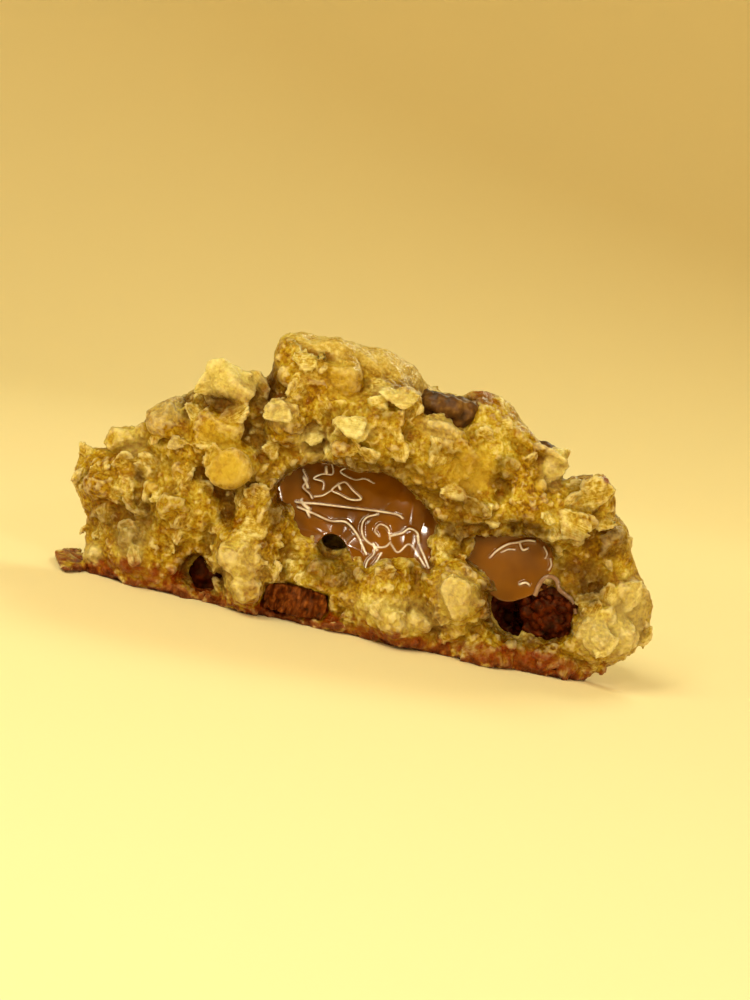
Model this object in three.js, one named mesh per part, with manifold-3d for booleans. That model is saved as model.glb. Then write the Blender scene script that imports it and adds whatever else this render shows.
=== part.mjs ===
// Half of a thick oatmeal chocolate chip cookie, broken by hand and standing on its flat baked base.
// Millimetres. X runs along the break, Y from the break to the rounded back, Z up from the base.
// The cookie is made the way the real one came about: a lumpy baked round, the broken half taken away,
// oat flakes left standing in the crumb, and melted chocolate lying in its own hollows.

import * as THREE from "three";
import { ImprovedNoise } from "three/addons/math/ImprovedNoise.js";
import { mergeVertices } from "three/addons/utils/BufferGeometryUtils.js";
import Module from "manifold-3d";

const wasm = await Module();
wasm.setup();

// Driving dimensions. Places on the broken face are (x, z), with x from the middle of the break.
const BREAK_WIDTH = 80; // end to end of the broken face
const CROWN_HEIGHT = 39; // base to the highest lump
const FOOT_THICKNESS = 1.2; // thin baked crust that spread on the tray
const CHOCOLATE_GAP = 0.35; // air left between chocolate and crumb, so that the solids stay apart

// Fineness of the faceted surfaces.
const ROUND_DETAIL = 16; // subdivisions of the baked round
const CRUMB_STEP = 1.8; // grid of the broken face
const CHOCOLATE_DETAIL = 2; // subdivisions of a small rounded shape

// Oat flakes, as rolled oats measure once they have soaked up the dough's moisture.
const FLAKE_LENGTH = 9.5;
const FLAKE_WIDTH = 6.6;
const FLAKE_THICKNESS = 1.1;
const FLAKE_SINK = 0.25; // how far its middle lies under the surface that it is stuck in

const noise = new ImprovedNoise();

// Two octaves of smooth noise whose larger bumps are `grain` millimetres apart.
function relief(x, y, z, grain) {
  const coarse = noise.noise(x / grain, y / grain, z / grain);
  const fine = noise.noise((2.1 * x) / grain + 5.3, (2.1 * y) / grain + 1.7, (2.1 * z) / grain + 9.1);
  return coarse + 0.5 * fine;
}

// A three.js geometry as a manifold solid, and back.
function weld(geometry) {
  const bare = geometry.clone();
  bare.deleteAttribute("normal");
  bare.deleteAttribute("uv");
  return mergeVertices(bare, 1e-4);
}

function solidOf(geometry) {
  const welded = weld(geometry);
  return new wasm.Manifold(
    new wasm.Mesh({
      numProp: 3,
      vertProperties: welded.attributes.position.array,
      triVerts: new Uint32Array(welded.index.array),
    }),
  );
}

function geometryOf(solid) {
  const { vertProperties, triVerts } = solid.getMesh();
  const geometry = new THREE.BufferGeometry();
  geometry.setAttribute("position", new THREE.BufferAttribute(vertProperties, 3));
  geometry.setIndex(new THREE.BufferAttribute(triVerts, 1));
  geometry.computeVertexNormals();
  return geometry;
}

// Moves every vertex of a geometry to where `place` puts it.
function moved(geometry, place) {
  const position = geometry.attributes.position;
  const point = new THREE.Vector3();
  for (let i = 0; i < position.count; i += 1) {
    place(point.fromBufferAttribute(position, i));
    position.setXYZ(i, point.x, point.y, point.z);
  }
  return geometry;
}

const joined = (solids) => solids.reduce((whole, solid) => whole.add(solid));

// ---------------------------------------------------------------------------------------------
// The baked round: a low dome covered in lumps of dough, each a ball that swelled out of it.

const ROUND_CENTRE = new THREE.Vector3(0, 2, 11);
const DOME = { centre: [-1.5, 0, 4], radii: [36.6, 36.0, 28.0] };

// Lumps whose edges make the outline of the broken face: [x, y, z, radius].
const BREAK_LUMPS = [
  [-33.2, 5, 13.7, 7.9],
  [-27.5, 7, 22.6, 6.5],
  [-21.8, 6, 28.4, 5.9],
  [-10.8, 5, 32.6, 6.9],
  [-2.6, 6, 32.1, 7.1],
  [12.4, 6, 29.5, 7.3],
  [18.2, 7, 27.0, 7.0],
  [29.3, 3, 25.2, 3.7],
  [29.4, 7, 17.4, 7.6],
  [33.6, 6, 9.5, 7.6],
];

// Lumps over the unseen back: rings of them, alternately large and small, by a fixed rule.
const BACK_RINGS = [
  { count: 9, radius: 29.5, height: 9.5, size: 8.2 },
  { count: 7, radius: 21.5, height: 19.0, size: 8.6 },
  { count: 4, radius: 12.5, height: 24.0, size: 8.2 },
];

function backLumps() {
  return BACK_RINGS.flatMap(({ count, radius, height, size }, ring) =>
    Array.from({ length: count }, (_, i) => {
      const angle = ((i + 0.55 + 0.2 * (ring % 2)) / count) * Math.PI;
      const uneven = noise.noise(3.1 * i + 0.4, 7.7 * ring + 0.2, 2.5);
      return [
        radius * Math.cos(angle),
        radius * Math.sin(angle),
        height + 3.5 * uneven,
        size * (1 + 0.3 * noise.noise(1.9 * i + 0.5, 4.1, 5.3 * ring + 0.3)),
      ];
    }),
  );
}

const LUMPS = [...BREAK_LUMPS, ...backLumps()].map(([x, y, z, radius]) => ({
  centre: [x, y, z],
  radii: [radius, radius, radius],
}));

// How far along a ray from the middle of the round the surface of one ball or dome lies.
function exitDistance(direction, { centre, radii }) {
  const axis = ["x", "y", "z"];
  const d = axis.map((k, i) => direction[k] / radii[i]);
  const o = axis.map((k, i) => (ROUND_CENTRE[k] - centre[i]) / radii[i]);
  const a = d.reduce((sum, v) => sum + v * v, 0);
  const b = d.reduce((sum, v, i) => sum + v * o[i], 0);
  const c = o.reduce((sum, v) => sum + v * v, 0) - 1;
  const inside = b * b - a * c;
  return inside > 0 ? (-b + Math.sqrt(inside)) / a : 0;
}

// The point of the round's surface in a direction from its middle.
const CRUST_SWELL = 0.55; // unevenness of the crust
const CRUST_GRAIN = 5.2; // size of its bumps

function roundSurface(direction) {
  const reach = Math.max(...[DOME, ...LUMPS].map((ball) => exitDistance(direction, ball)));
  const point = direction.clone().multiplyScalar(reach).add(ROUND_CENTRE);
  const swell = CRUST_SWELL * relief(point.x, point.y, point.z, CRUST_GRAIN);
  return point.addScaledVector(direction, swell);
}

// A direction from the middle of the round: a turn about Z and a rise above the level, in radians.
function towards(turn, rise) {
  return new THREE.Vector3(Math.cos(rise) * Math.cos(turn), Math.cos(rise) * Math.sin(turn), Math.sin(rise));
}

// A frame that stands on the crust, with its Z along the surface's own normal.
const CRUST_PROBE = 0.05; // turn between neighbouring points in radians, about 2 mm on the crust

function crustFrame(direction, spin) {
  const side = new THREE.Vector3(Math.sin(spin), Math.cos(spin), 0.1).cross(direction).normalize();
  const along = new THREE.Vector3().crossVectors(direction, side);
  const probe = (axis, turn) => roundSurface(direction.clone().addScaledVector(axis, turn).normalize());
  const across = probe(side, CRUST_PROBE).sub(probe(side, -CRUST_PROBE));
  const ahead = probe(along, CRUST_PROBE).sub(probe(along, -CRUST_PROBE));
  const frame = new THREE.Object3D();
  frame.position.copy(roundSurface(direction));
  frame.up.copy(side);
  frame.lookAt(frame.position.clone().add(across.cross(ahead)));
  return frame;
}

function bakedRound() {
  const shell = weld(new THREE.IcosahedronGeometry(1, ROUND_DETAIL));
  return solidOf(moved(shell, (p) => p.copy(roundSurface(p.clone().normalize()))));
}

// The crust that spread on the tray: a thin, uneven foot under the round, widest at the left.
const FOOT_CENTRE_X = -3.4;
const FOOT_RADIUS = 36.2;
const FOOT_BEVEL = 1.0; // how much narrower its top edge is
const FOOT_SIDES = 72;
const FOOT_RAGGED = 0.04; // how uneven its edge is, as a share of the radius
const FOOT_GRAIN = 9;

function foot() {
  const upper = FOOT_RADIUS - FOOT_BEVEL;
  const disc = weld(new THREE.CylinderGeometry(upper, FOOT_RADIUS, FOOT_THICKNESS, FOOT_SIDES));
  disc.rotateX(Math.PI / 2);
  disc.translate(FOOT_CENTRE_X, 0, FOOT_THICKNESS / 2);
  return solidOf(
    moved(disc, (p) => {
      const grow = 1 + FOOT_RAGGED * relief(p.x, p.y, 0, FOOT_GRAIN);
      p.x = FOOT_CENTRE_X + (p.x - FOOT_CENTRE_X) * grow;
      p.y *= grow;
    }),
  );
}

// ---------------------------------------------------------------------------------------------
// The broken face: clods of crumb that stand out, and bays that chocolate lies in.

// Clods: [x, z, radius, how far it stands out].
const CLODS = [
  [-34.5, 14, 6.5, 2.2],
  [-28.5, 24, 5.5, 2.6],
  [-22, 30, 5.5, 3.2],
  [-24.5, 22, 5.0, 3.4],
  [-20, 20, 3.4, 5.0],
  [-25.5, 13, 5.5, 4.0],
  [-30.5, 6, 5.0, 2.8],
  [-15.5, 8, 5.0, 4.2],
  [-14, 3.5, 3.2, 4.0],
  [-14.5, 14, 4.0, 3.0],
  [-10.5, 33, 6.5, 3.2],
  [-6.3, 35.3, 3.0, 4.4],
  [0.8, 33, 5.2, 4.0],
  [-13.5, 27.3, 3.6, 4.0],
  [-2.5, 28, 6.2, 4.6],
  [7, 27, 5.4, 3.8],
  [15, 30, 5.4, 3.0],
  [21.5, 28.5, 5.0, 3.2],
  [22, 23.5, 4.4, 3.4],
  [29.3, 25.5, 4.0, 2.6],
  [26.8, 21.8, 3.8, 4.0],
  [14, 8.8, 4.8, 5.2],
  [4, 6.5, 5.4, 3.8],
  [-5, 6.5, 4.2, 2.2],
  [8, 2.6, 3.4, 3.2],
  [20, 1.6, 3.4, 2.6],
  [34.8, 7.6, 4.8, 4.2],
  [36.6, 12, 3.6, 2.6],
  [13.5, 20.5, 4.2, 1.8],
];

// Bays: [x, z, half width, half height, depth].
const BAYS = [
  [-1.5, 16.8, 11.4, 6.0, 4.4],
  [-4.2, 11.4, 2.2, 1.8, 6.0],
  [20.4, 14.8, 6.8, 4.8, 3.6],
  [24.6, 7.4, 6.6, 3.9, 6.6],
  [-20.2, 3.6, 3.0, 2.9, 5.2],
  [-8.0, 2.6, 4.9, 2.7, 1.8],
];

const FACE_TILT = 0.05; // the break leans back a little towards the crown
const FACE_BOW = 5.5; // how far the two ends of the break lie behind its middle
const FACE_ROUGH = 1.1; // unevenness of the crumb between the clods
const FACE_GRAIN = 6.5;
const CLOD_IN_BAY = 0.35; // share of a clod that still stands out where a bay is

// Depth of the broken face at (x, z): larger is further from the viewer.
function faceDepth(x, z) {
  const bow = FACE_BOW * (Math.abs(x) / (BREAK_WIDTH / 2)) ** 3;
  const standing = CLODS.map(([cx, cz, radius, out]) => {
    const far = Math.hypot(x - cx, z - cz) / radius;
    return far < 1 ? out * Math.sqrt(1 - far * far) : 0;
  });
  const sunk = BAYS.map(([bx, bz, wide, high, deep]) => {
    const far = Math.hypot((x - bx) / wide, (z - bz) / high);
    return far < 1 ? deep * (1 - far ** 3) : 0;
  });
  const deepest = Math.max(...sunk);
  const clod = Math.max(...standing) * (deepest > 0 ? CLOD_IN_BAY : 1);
  const crumbly = FACE_ROUGH * relief(x, 0, z, FACE_GRAIN);
  return FACE_TILT * z + bow - clod + deepest + crumbly;
}

// The half that was broken away, as a block whose far side is the broken face.
const BLOCK_MARGIN = 6; // how far the block reaches past the cookie all round

function brokenAway() {
  const width = BREAK_WIDTH + 2 * BLOCK_MARGIN;
  const height = CROWN_HEIGHT + 2 * BLOCK_MARGIN;
  const depth = BREAK_WIDTH;
  const columns = Math.round(width / CRUMB_STEP);
  const rows = Math.round(height / CRUMB_STEP);
  const block = weld(new THREE.BoxGeometry(width, depth, height, columns, 1, rows));
  return solidOf(
    moved(block, (p) => {
      p.z += CROWN_HEIGHT / 2;
      p.y = p.y > 0 ? faceDepth(p.x, p.z) : -depth;
    }),
  );
}

// ---------------------------------------------------------------------------------------------
// Rolled oat flakes: thin cupped ovals with a ragged edge.

function flake(scale, index) {
  const oval = weld(new THREE.SphereGeometry(1, 8, 3));
  oval.rotateX(Math.PI / 2);
  return moved(oval, (p) => {
    const ragged = 1 + 0.12 * noise.noise(2 * p.x + index, 2 * p.y, 0.5);
    const cup = 0.18 * (p.x * p.x - 0.5 * p.y * p.y);
    p.set(
      0.5 * FLAKE_LENGTH * scale * p.x * ragged,
      0.5 * FLAKE_WIDTH * scale * p.y * ragged,
      0.5 * FLAKE_THICKNESS * p.z + FLAKE_LENGTH * scale * 0.5 * cup,
    );
  });
}

// Flakes seen in the break: [x, z, scale, turn in the face, lean out of the face], angles in degrees.
const BREAK_FLAKES = [
  [-36.6, 14.0, 0.75, -55, 55],
  [-33.6, 20.0, 0.7, 35, 40],
  [-31.0, 6.6, 0.65, -62, 60],
  [-22.0, 32.2, 0.95, 30, 50],
  [-13.8, 27.6, 0.7, -50, 35],
  [-2.8, 28.4, 0.95, 4, 62],
  [1.2, 33.2, 0.8, -12, 38],
  [-6.6, 35.4, 0.7, 70, 20],
  [10.5, 22.4, 0.55, 8, 60],
  [21.8, 22.6, 0.6, 85, 55],
  [22.4, 31.2, 0.85, -24, 60],
  [29.8, 26.6, 0.7, 18, 48],
  [-28.8, 25.8, 0.8, 55, 50],
  [4.4, 4.6, 0.6, -35, 60],
  [35.0, 8.4, 0.65, 40, 45],
  [-9.6, 7.4, 0.5, 15, 55],
];

const BURIED_SHARE = 0.2; // share of its length that a leaning flake goes deeper into the crumb

function breakFlakes() {
  return BREAK_FLAKES.map(([x, z, scale, turn, lean], i) => {
    const tilt = THREE.MathUtils.degToRad(lean);
    const buried = FLAKE_SINK + BURIED_SHARE * FLAKE_LENGTH * scale * Math.sin(tilt);
    const place = new THREE.Object3D();
    place.rotation.set(Math.PI / 2 + tilt, THREE.MathUtils.degToRad(-turn), 0, "YXZ");
    place.position.set(x, faceDepth(x, z) + buried, z);
    place.updateMatrix();
    return solidOf(flake(scale, i).applyMatrix4(place.matrix));
  });
}

// Flakes that lie in the top crust, spread by the golden angle.
const CRUST_FLAKES = 18;
const GOLDEN_ANGLE = Math.PI * (3 - Math.sqrt(5));
const LOWEST_FLAKE = 0.14; // rise of the lowest one, as the sine of its height angle
const HIGHEST_FLAKE = 0.92;
const FLAKE_SECTOR = [0.1 * Math.PI, 0.8 * Math.PI]; // where it starts and how wide it is, seen from above

function crustFlakes() {
  return Array.from({ length: CRUST_FLAKES }, (_, i) => {
    const height = LOWEST_FLAKE + ((HIGHEST_FLAKE - LOWEST_FLAKE) * (i + 0.5)) / CRUST_FLAKES;
    const turn = FLAKE_SECTOR[0] + ((i * GOLDEN_ANGLE) % FLAKE_SECTOR[1]);
    const place = crustFrame(towards(turn, Math.asin(height)), 5 * i);
    place.translateZ(-FLAKE_SINK);
    place.updateMatrix();
    const scale = 0.6 + 0.3 * Math.abs(Math.sin(7 * i));
    return solidOf(flake(scale, i + BREAK_FLAKES.length).applyMatrix4(place.matrix));
  });
}

// ---------------------------------------------------------------------------------------------
// Chocolate: melted pools in the break, a dark lining, a chunk in the base, and chips in the crust.
// Each shape is a union of rounded blobs [x, y, z, radius x, radius y, radius z], so it can be grown
// by the gap to make the pocket that it lies in.

const POOL = [
  [-1.2, 5.2, 17.2, 11.0, 5.2, 5.6],
  [-9.6, 4.6, 17.8, 4.0, 3.6, 3.4],
  [5.6, 4.6, 15.8, 5.0, 4.0, 4.4],
  [1.4, 3.2, 11.8, 2.2, 2.4, 2.6],
  [8.6, 3.8, 12.4, 2.0, 2.4, 2.8],
];
const RIGHT_POOL = [
  [20.2, 5.0, 14.8, 6.4, 4.2, 4.5],
  [16.2, 4.8, 16.4, 3.4, 3.0, 2.8],
];
const LINING = [[24.6, 8.2, 7.4, 6.4, 3.6, 3.8]];
const LINING_HOLLOW = [24.4, 3.6, 7.2, 5.4, 5.0, 3.2];
const LEFT_CHIP = [[-20.0, 5.4, 4.0, 2.8, 2.6, 2.8]];
const CROWN_CHIP = [[7.6, 3.0, 33.4, 3.6, 3.4, 2.5]];
const CHUNK = { centre: [-7.4, 4.4, 3.1], size: [9.4, 6.4, 4.4] };
const CRUST_CHIPS = [
  [0.42, 0.62],
  [1.75, 0.78],
  [2.62, 0.5],
];
const CHIP_RADII = [4.4, 3.7, 2.6];
const CHIP_SINK = 1.3; // how far a chip's middle lies under the crust

function blob([x, y, z, rx, ry, rz], grow) {
  const ball = weld(new THREE.IcosahedronGeometry(1, CHOCOLATE_DETAIL));
  return moved(ball, (p) => {
    const wavy = 1 + 0.1 * relief(x + p.x * rx, y + p.y * ry, z + p.z * rz, 4);
    p.set(x + (rx + grow) * p.x * wavy, y + (ry + grow) * p.y * wavy, z + (rz + grow) * p.z * wavy);
  });
}

const melted = (blobs, grow = 0) => joined(blobs.map((one) => solidOf(blob(one, grow))));

// The lining coats the back of an empty hollow, so its front is scooped out.
const lining = () => melted(LINING).subtract(melted([LINING_HOLLOW]));

// A broken piece of a chocolate bar baked into the base, with its corners melted off.
function chunk(grow = 0) {
  const [cx, cy, cz] = CHUNK.centre;
  const [length, depth, height] = CHUNK.size;
  const box = weld(new THREE.BoxGeometry(1, 1, 1, 6, 3, 3));
  return solidOf(
    moved(box, (p) => {
      const round = 1 - 0.22 * (Math.abs(2 * p.x) ** 3 + Math.abs(2 * p.z) ** 3) * (0.5 + Math.abs(p.y));
      const fracture = 0.25 * noise.noise(3.3 * p.x + 0.2, 4 * p.z, 0.7);
      p.set(
        cx + (length + 2 * grow) * p.x * (1 - 0.35 * (1 - round)),
        cy + (depth + 2 * grow) * p.y + fracture,
        cz + (height + 2 * grow) * p.z * (1 - 0.5 * (1 - round)),
      );
    }),
  );
}

// A chip half sunk in the top crust, in a direction given as [turn, rise] in radians.
function crustChip([turn, rise], grow = 0) {
  const place = crustFrame(towards(turn, rise), turn);
  place.translateZ(-CHIP_SINK);
  place.updateMatrix();
  return solidOf(blob([0, 0, 0, ...CHIP_RADII], grow).applyMatrix4(place.matrix));
}

// ---------------------------------------------------------------------------------------------
// The crumb, with a pocket for each piece of chocolate.

function crumb() {
  const under = new THREE.BoxGeometry(3 * BREAK_WIDTH, 3 * BREAK_WIDTH, BREAK_WIDTH);
  under.translate(0, 0, -BREAK_WIDTH / 2);
  const half = bakedRound().add(foot()).subtract(brokenAway());
  const withFlakes = joined([half, ...breakFlakes(), ...crustFlakes()]);
  const pockets = [
    melted(POOL, CHOCOLATE_GAP),
    melted(RIGHT_POOL, CHOCOLATE_GAP),
    melted(LINING, CHOCOLATE_GAP),
    melted(LEFT_CHIP, CHOCOLATE_GAP),
    melted(CROWN_CHIP, CHOCOLATE_GAP),
    chunk(CHOCOLATE_GAP),
    ...CRUST_CHIPS.map((where) => crustChip(where, CHOCOLATE_GAP)),
  ];
  const body = pockets.reduce((rest, pocket) => rest.subtract(pocket), withFlakes.subtract(solidOf(under)));
  return largestPiece(body);
}

// The largest of the pieces that a cut leaves, so that loose scraps are dropped.
function largestPiece(solid) {
  const pieces = solid.decompose();
  return pieces.reduce((best, piece) => (piece.volume() > best.volume() ? piece : best));
}

// ---------------------------------------------------------------------------------------------
// Finishes, as they look in daylight.

const CRUMB_FINISH = new THREE.MeshStandardMaterial({ color: "#c4943c", roughness: 0.7, metalness: 0 });
const MELTED_FINISH = new THREE.MeshStandardMaterial({ color: "#7e4608", roughness: 0.15, metalness: 0 });
const DARK_FINISH = new THREE.MeshStandardMaterial({ color: "#461c06", roughness: 0.35, metalness: 0 });
const CHIP_FINISH = new THREE.MeshStandardMaterial({ color: "#5f3a10", roughness: 0.5, metalness: 0 });

function piece(name, solid, finish) {
  const mesh = new THREE.Mesh(geometryOf(solid), finish);
  mesh.name = name;
  return mesh;
}

const pieces = [
  piece("crumb", crumb(), CRUMB_FINISH),
  piece("chocolate_pool", melted(POOL), MELTED_FINISH),
  piece("chocolate_right_pool", melted(RIGHT_POOL), MELTED_FINISH),
  piece("chocolate_lining", lining(), DARK_FINISH),
  piece("chocolate_chunk", chunk(), DARK_FINISH),
  piece("chocolate_left_chip", melted(LEFT_CHIP), DARK_FINISH),
  piece("chocolate_crown_chip", melted(CROWN_CHIP), CHIP_FINISH),
  ...CRUST_CHIPS.map((where, i) => piece(`chocolate_crust_chip_${i + 1}`, crustChip(where), CHIP_FINISH)),
];

// The origin is the middle of the footprint, on the surface that the cookie stands on.
const cookie = new THREE.Group();
cookie.add(...pieces);
const extent = new THREE.Box3().setFromObject(cookie);
const middle = extent.getCenter(new THREE.Vector3());
cookie.position.set(-middle.x, -middle.y, -extent.min.z);

export default cookie;
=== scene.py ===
# %% [markdown]
# # Half of an oatmeal chocolate chip cookie
# A thick cookie was broken by hand, and this is the half that shows its inside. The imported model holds
# its true size and the places of the chocolate. This notebook gives the plain solids what the eye looks
# for: torn crumb, oat flakes, a toasted base and melted chocolate that shines.

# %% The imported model
import math
import time

import bpy
import numpy as np
from mathutils import Matrix, Vector, noise
from mathutils.bvhtree import BVHTree


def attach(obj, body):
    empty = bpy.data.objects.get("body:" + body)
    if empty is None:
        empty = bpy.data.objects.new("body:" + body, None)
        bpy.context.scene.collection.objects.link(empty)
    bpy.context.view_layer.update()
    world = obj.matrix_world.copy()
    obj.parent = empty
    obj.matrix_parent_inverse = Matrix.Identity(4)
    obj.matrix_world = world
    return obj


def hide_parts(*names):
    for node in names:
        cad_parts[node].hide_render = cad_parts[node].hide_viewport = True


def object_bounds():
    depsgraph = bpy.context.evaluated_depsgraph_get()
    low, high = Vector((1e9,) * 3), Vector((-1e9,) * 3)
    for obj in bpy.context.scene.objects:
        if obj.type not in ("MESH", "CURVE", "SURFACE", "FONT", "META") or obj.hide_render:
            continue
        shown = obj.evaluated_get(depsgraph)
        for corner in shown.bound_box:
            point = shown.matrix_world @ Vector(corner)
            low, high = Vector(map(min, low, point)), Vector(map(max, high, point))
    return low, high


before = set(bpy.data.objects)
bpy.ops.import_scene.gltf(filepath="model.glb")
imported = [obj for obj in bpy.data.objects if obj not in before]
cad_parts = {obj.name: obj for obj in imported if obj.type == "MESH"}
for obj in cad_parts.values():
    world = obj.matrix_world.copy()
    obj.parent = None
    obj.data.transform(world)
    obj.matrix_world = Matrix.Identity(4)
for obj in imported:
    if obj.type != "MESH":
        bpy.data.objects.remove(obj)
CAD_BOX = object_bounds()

MM = 0.001
STARTED = time.time()


def report(what):
    print(f"{what} ({time.time() - STARTED:.1f} s)")


report(f"nodes: {sorted(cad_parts)}")
report(f"box in mm: {[[round(c / MM, 1) for c in corner] for corner in CAD_BOX]}")

# %% [markdown]
# Blender's operators act on what is selected. So a few short helpers select one object, add a modifier
# and apply it at once, and read or write all the points of a mesh as one array, which is much faster than
# point by point.


# %% Helpers for selecting and for modifiers
def deselect():
    bpy.ops.object.select_all(action="DESELECT")


def pick(piece):
    deselect()
    piece.select_set(True)
    bpy.context.view_layer.objects.active = piece
    return piece


def modify(piece, kind, **settings):
    pick(piece)
    modifier = piece.modifiers.new(kind.title(), kind)
    for name, value in settings.items():
        setattr(modifier, name, value)
    bpy.ops.object.modifier_apply(modifier=modifier.name)
    return piece


def shift_points(piece, x):
    """Moves the points of a piece along x, with its scale applied, and leaves its origin."""
    pick(piece)
    piece.location.x = x
    bpy.ops.object.transform_apply(location=True, scale=True)


def skin(piece, voxel, rounds):
    """One closed skin round all that overlaps, with squares as wide as voxel, then smoothed."""
    modify(piece, "REMESH", mode="VOXEL", voxel_size=voxel)
    return modify(piece, "SMOOTH", factor=0.5, iterations=rounds)


def join(pieces):
    """Joins the pieces into the first one."""
    deselect()
    for piece in pieces:
        piece.select_set(True)
    bpy.context.view_layer.objects.active = pieces[0]
    bpy.ops.object.join()
    return pieces[0]


# %% Helpers for points
def points(piece):
    flat = np.empty(3 * len(piece.data.vertices), np.float32)
    piece.data.vertices.foreach_get("co", flat)
    return flat.reshape(-1, 3).astype(float)


def set_points(piece, places):
    piece.data.vertices.foreach_set("co", np.asarray(places, np.float32).ravel())
    piece.data.update()


def normals(piece):
    flat = np.empty(3 * len(piece.data.vertices), np.float32)
    piece.data.vertex_normals.foreach_get("vector", flat)
    return flat.reshape(-1, 3).astype(float)


def triangles(piece):
    piece.data.calc_loop_triangles()
    flat = np.empty(3 * len(piece.data.loop_triangles), np.int32)
    piece.data.loop_triangles.foreach_get("vertices", flat)
    return flat.reshape(-1, 3)


def tree_of(piece):
    return BVHTree.FromPolygons(points(piece).tolist(), triangles(piece).tolist())


def stretched(places, factors, raised=0.0):
    """The places stretched from their middle, or from a point so far above it."""
    middle = 0.5 * (places.min(0) + places.max(0)) + (0, 0, raised)
    return middle + (places - middle) * factors


def smoothstep(low, high, values):
    share = np.clip((values - low) / (high - low), 0, 1)
    return share * share * (3 - 2 * share)


# %% Helpers for pieces
def new_piece(name, mesh):
    piece = bpy.data.objects.new(name, mesh)
    bpy.context.scene.collection.objects.link(piece)
    return piece


def copy_of_node(node, name):
    """A copy of a CAD node. Its loose triangles are merged."""
    piece = pick(new_piece(name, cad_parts[node].data.copy()))
    bpy.ops.object.mode_set(mode="EDIT")
    bpy.ops.mesh.select_all(action="SELECT")
    bpy.ops.mesh.remove_doubles(threshold=0.001 * MM)
    bpy.ops.object.mode_set(mode="OBJECT")
    return piece


def declare(piece, slot, *nodes):
    """The piece rides on the cookie and stands for the nodes, which are hidden. The slot is not used."""
    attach(piece, "root")
    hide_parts(*nodes)
    report(f"{piece.name}: {len(triangles(piece))} triangles")


def write_attribute(piece, name, values):
    attribute = piece.data.attributes.new(name, "FLOAT", "POINT")
    attribute.data.foreach_set("value", np.asarray(values, np.float32))


# %% [markdown]
# Relief is made with the displace modifier. It moves each point along its normal by the grey value of one
# of Blender's own textures. Soft clouds give bumps, folded clouds give sharp ridges, and cells give
# cracked plates.

# %% Relief from Blender's own textures
def displace(piece, texture, height, level, group="", direction="NORMAL"):
    return modify(
        piece,
        "DISPLACE",
        texture=texture,
        strength=height,
        mid_level=level,
        texture_coords="LOCAL",
        direction=direction,
        vertex_group=group,
    )


def roughen(piece, size, height, depth=2, group="", direction="NORMAL"):
    """Soft bumps about size apart, half of them inwards."""
    clouds = bpy.data.textures.new("clouds", "CLOUDS")
    clouds.noise_scale = size
    clouds.noise_depth = depth
    return displace(piece, clouds, height, 0.5, group, direction)


def tear(piece, size, height, depth, group):
    """Sharp ridges about size apart with round hollows between them, as dough tears."""
    ridges = bpy.data.textures.new("ridges", "CLOUDS")
    ridges.noise_type = "HARD_NOISE"
    ridges.noise_scale = size
    ridges.noise_depth = depth
    return displace(piece, ridges, -height, 0.35, group)


def crack(piece, size, height, group):
    """Flat plates about size across with narrow creases between them, as a crust cracks."""
    plates = bpy.data.textures.new("plates", "VORONOI")
    plates.noise_scale = size
    plates.weight_1, plates.weight_2 = -1.0, 1.0
    plates.intensity, plates.contrast = 2.0, 3.0
    return displace(piece, plates, height, 1.0, group)


# %% [markdown]
# The torn crumb is many clods, grains and oat flakes that stick together. Each is a copy of one of a few
# shapes. A shape is modelled once. One function then writes all the copies into a single mesh: it
# multiplies the shape's points by each copy's matrix, and keeps for each point its place in the shape and
# a shade of its own.


# %% Many copies in one mesh
def shape_of(piece):
    """A modelled shape as arrays of points and triangles. Its object is removed."""
    found = points(piece), triangles(piece)
    bpy.data.objects.remove(piece)
    return found


def copies(name, placings):
    """One piece from (shape, 4 by 4 matrix) pairs, and for each of its faces the number of its pair."""
    places, corners, owner, start = [], [], [], 0
    for number, ((local, faces), matrix) in enumerate(placings):
        m = np.array(matrix)
        places.append(local @ m[:3, :3].T + m[:3, 3])
        corners.append(faces + start)
        owner.append(np.full(len(faces), number))
        start += len(local)
    corners = np.concatenate(corners).astype(np.int32)
    mesh = bpy.data.meshes.new(name)
    mesh.vertices.add(start)
    mesh.vertices.foreach_set("co", np.concatenate(places).astype(np.float32).ravel())
    mesh.loops.add(corners.size)
    mesh.loops.foreach_set("vertex_index", corners.ravel())
    mesh.polygons.add(len(corners))
    mesh.polygons.foreach_set("loop_start", np.arange(0, corners.size, 3, dtype=np.int32))
    mesh.update(calc_edges=True)
    return new_piece(name, mesh), np.concatenate(owner)


# %% [markdown]
# A clod of crumb is a ball that was squeezed and broken. An icosphere has evenly spread points, so noise
# bumps it the same on all sides. The noise depends on the place, so each clod is roughened at another
# place and brought back. Its flat sides come from pushing all that lies past a plane back onto it. Small
# grains need few points. A lump that is soaked with butter stays round, so it gets one flat side only.

# %% Clods and grains
BALLS_APART = 7.0


def ball_shape(number, cuts, bump, sides):
    """A lump about one unit in radius, uneven by noise, and with flat sides where it broke from the rest."""
    deselect()
    bpy.ops.mesh.primitive_ico_sphere_add(subdivisions=cuts, radius=1.0)
    ball = bpy.context.active_object
    shift_points(ball, BALLS_APART * number)
    roughen(ball, 0.9, bump)
    shift_points(ball, -BALLS_APART * number)
    place = points(ball)
    for _ in range(sides):
        way = Vector(noise.random_unit_vector())
        place -= np.maximum(place @ way - rng.uniform(0.5, 0.8), 0)[:, None] * way
    set_points(ball, place)
    return shape_of(ball)


noise.seed_set(5)
rng = np.random.default_rng(11)
CLODS = [ball_shape(number, 4, 0.6, 7) for number in range(6)]
GRAINS = [ball_shape(number, 2, 0.9, 6) for number in range(4)]
PEARLS = [ball_shape(number, 3, 0.35, 1) for number in range(4)]


# %% [markdown]
# A rolled oat is a grain pressed flat between rollers, with a crease down its middle and a brittle edge.
# A flattened sphere is closed and thin towards its edge, which a plane with thickness would not be.

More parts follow.
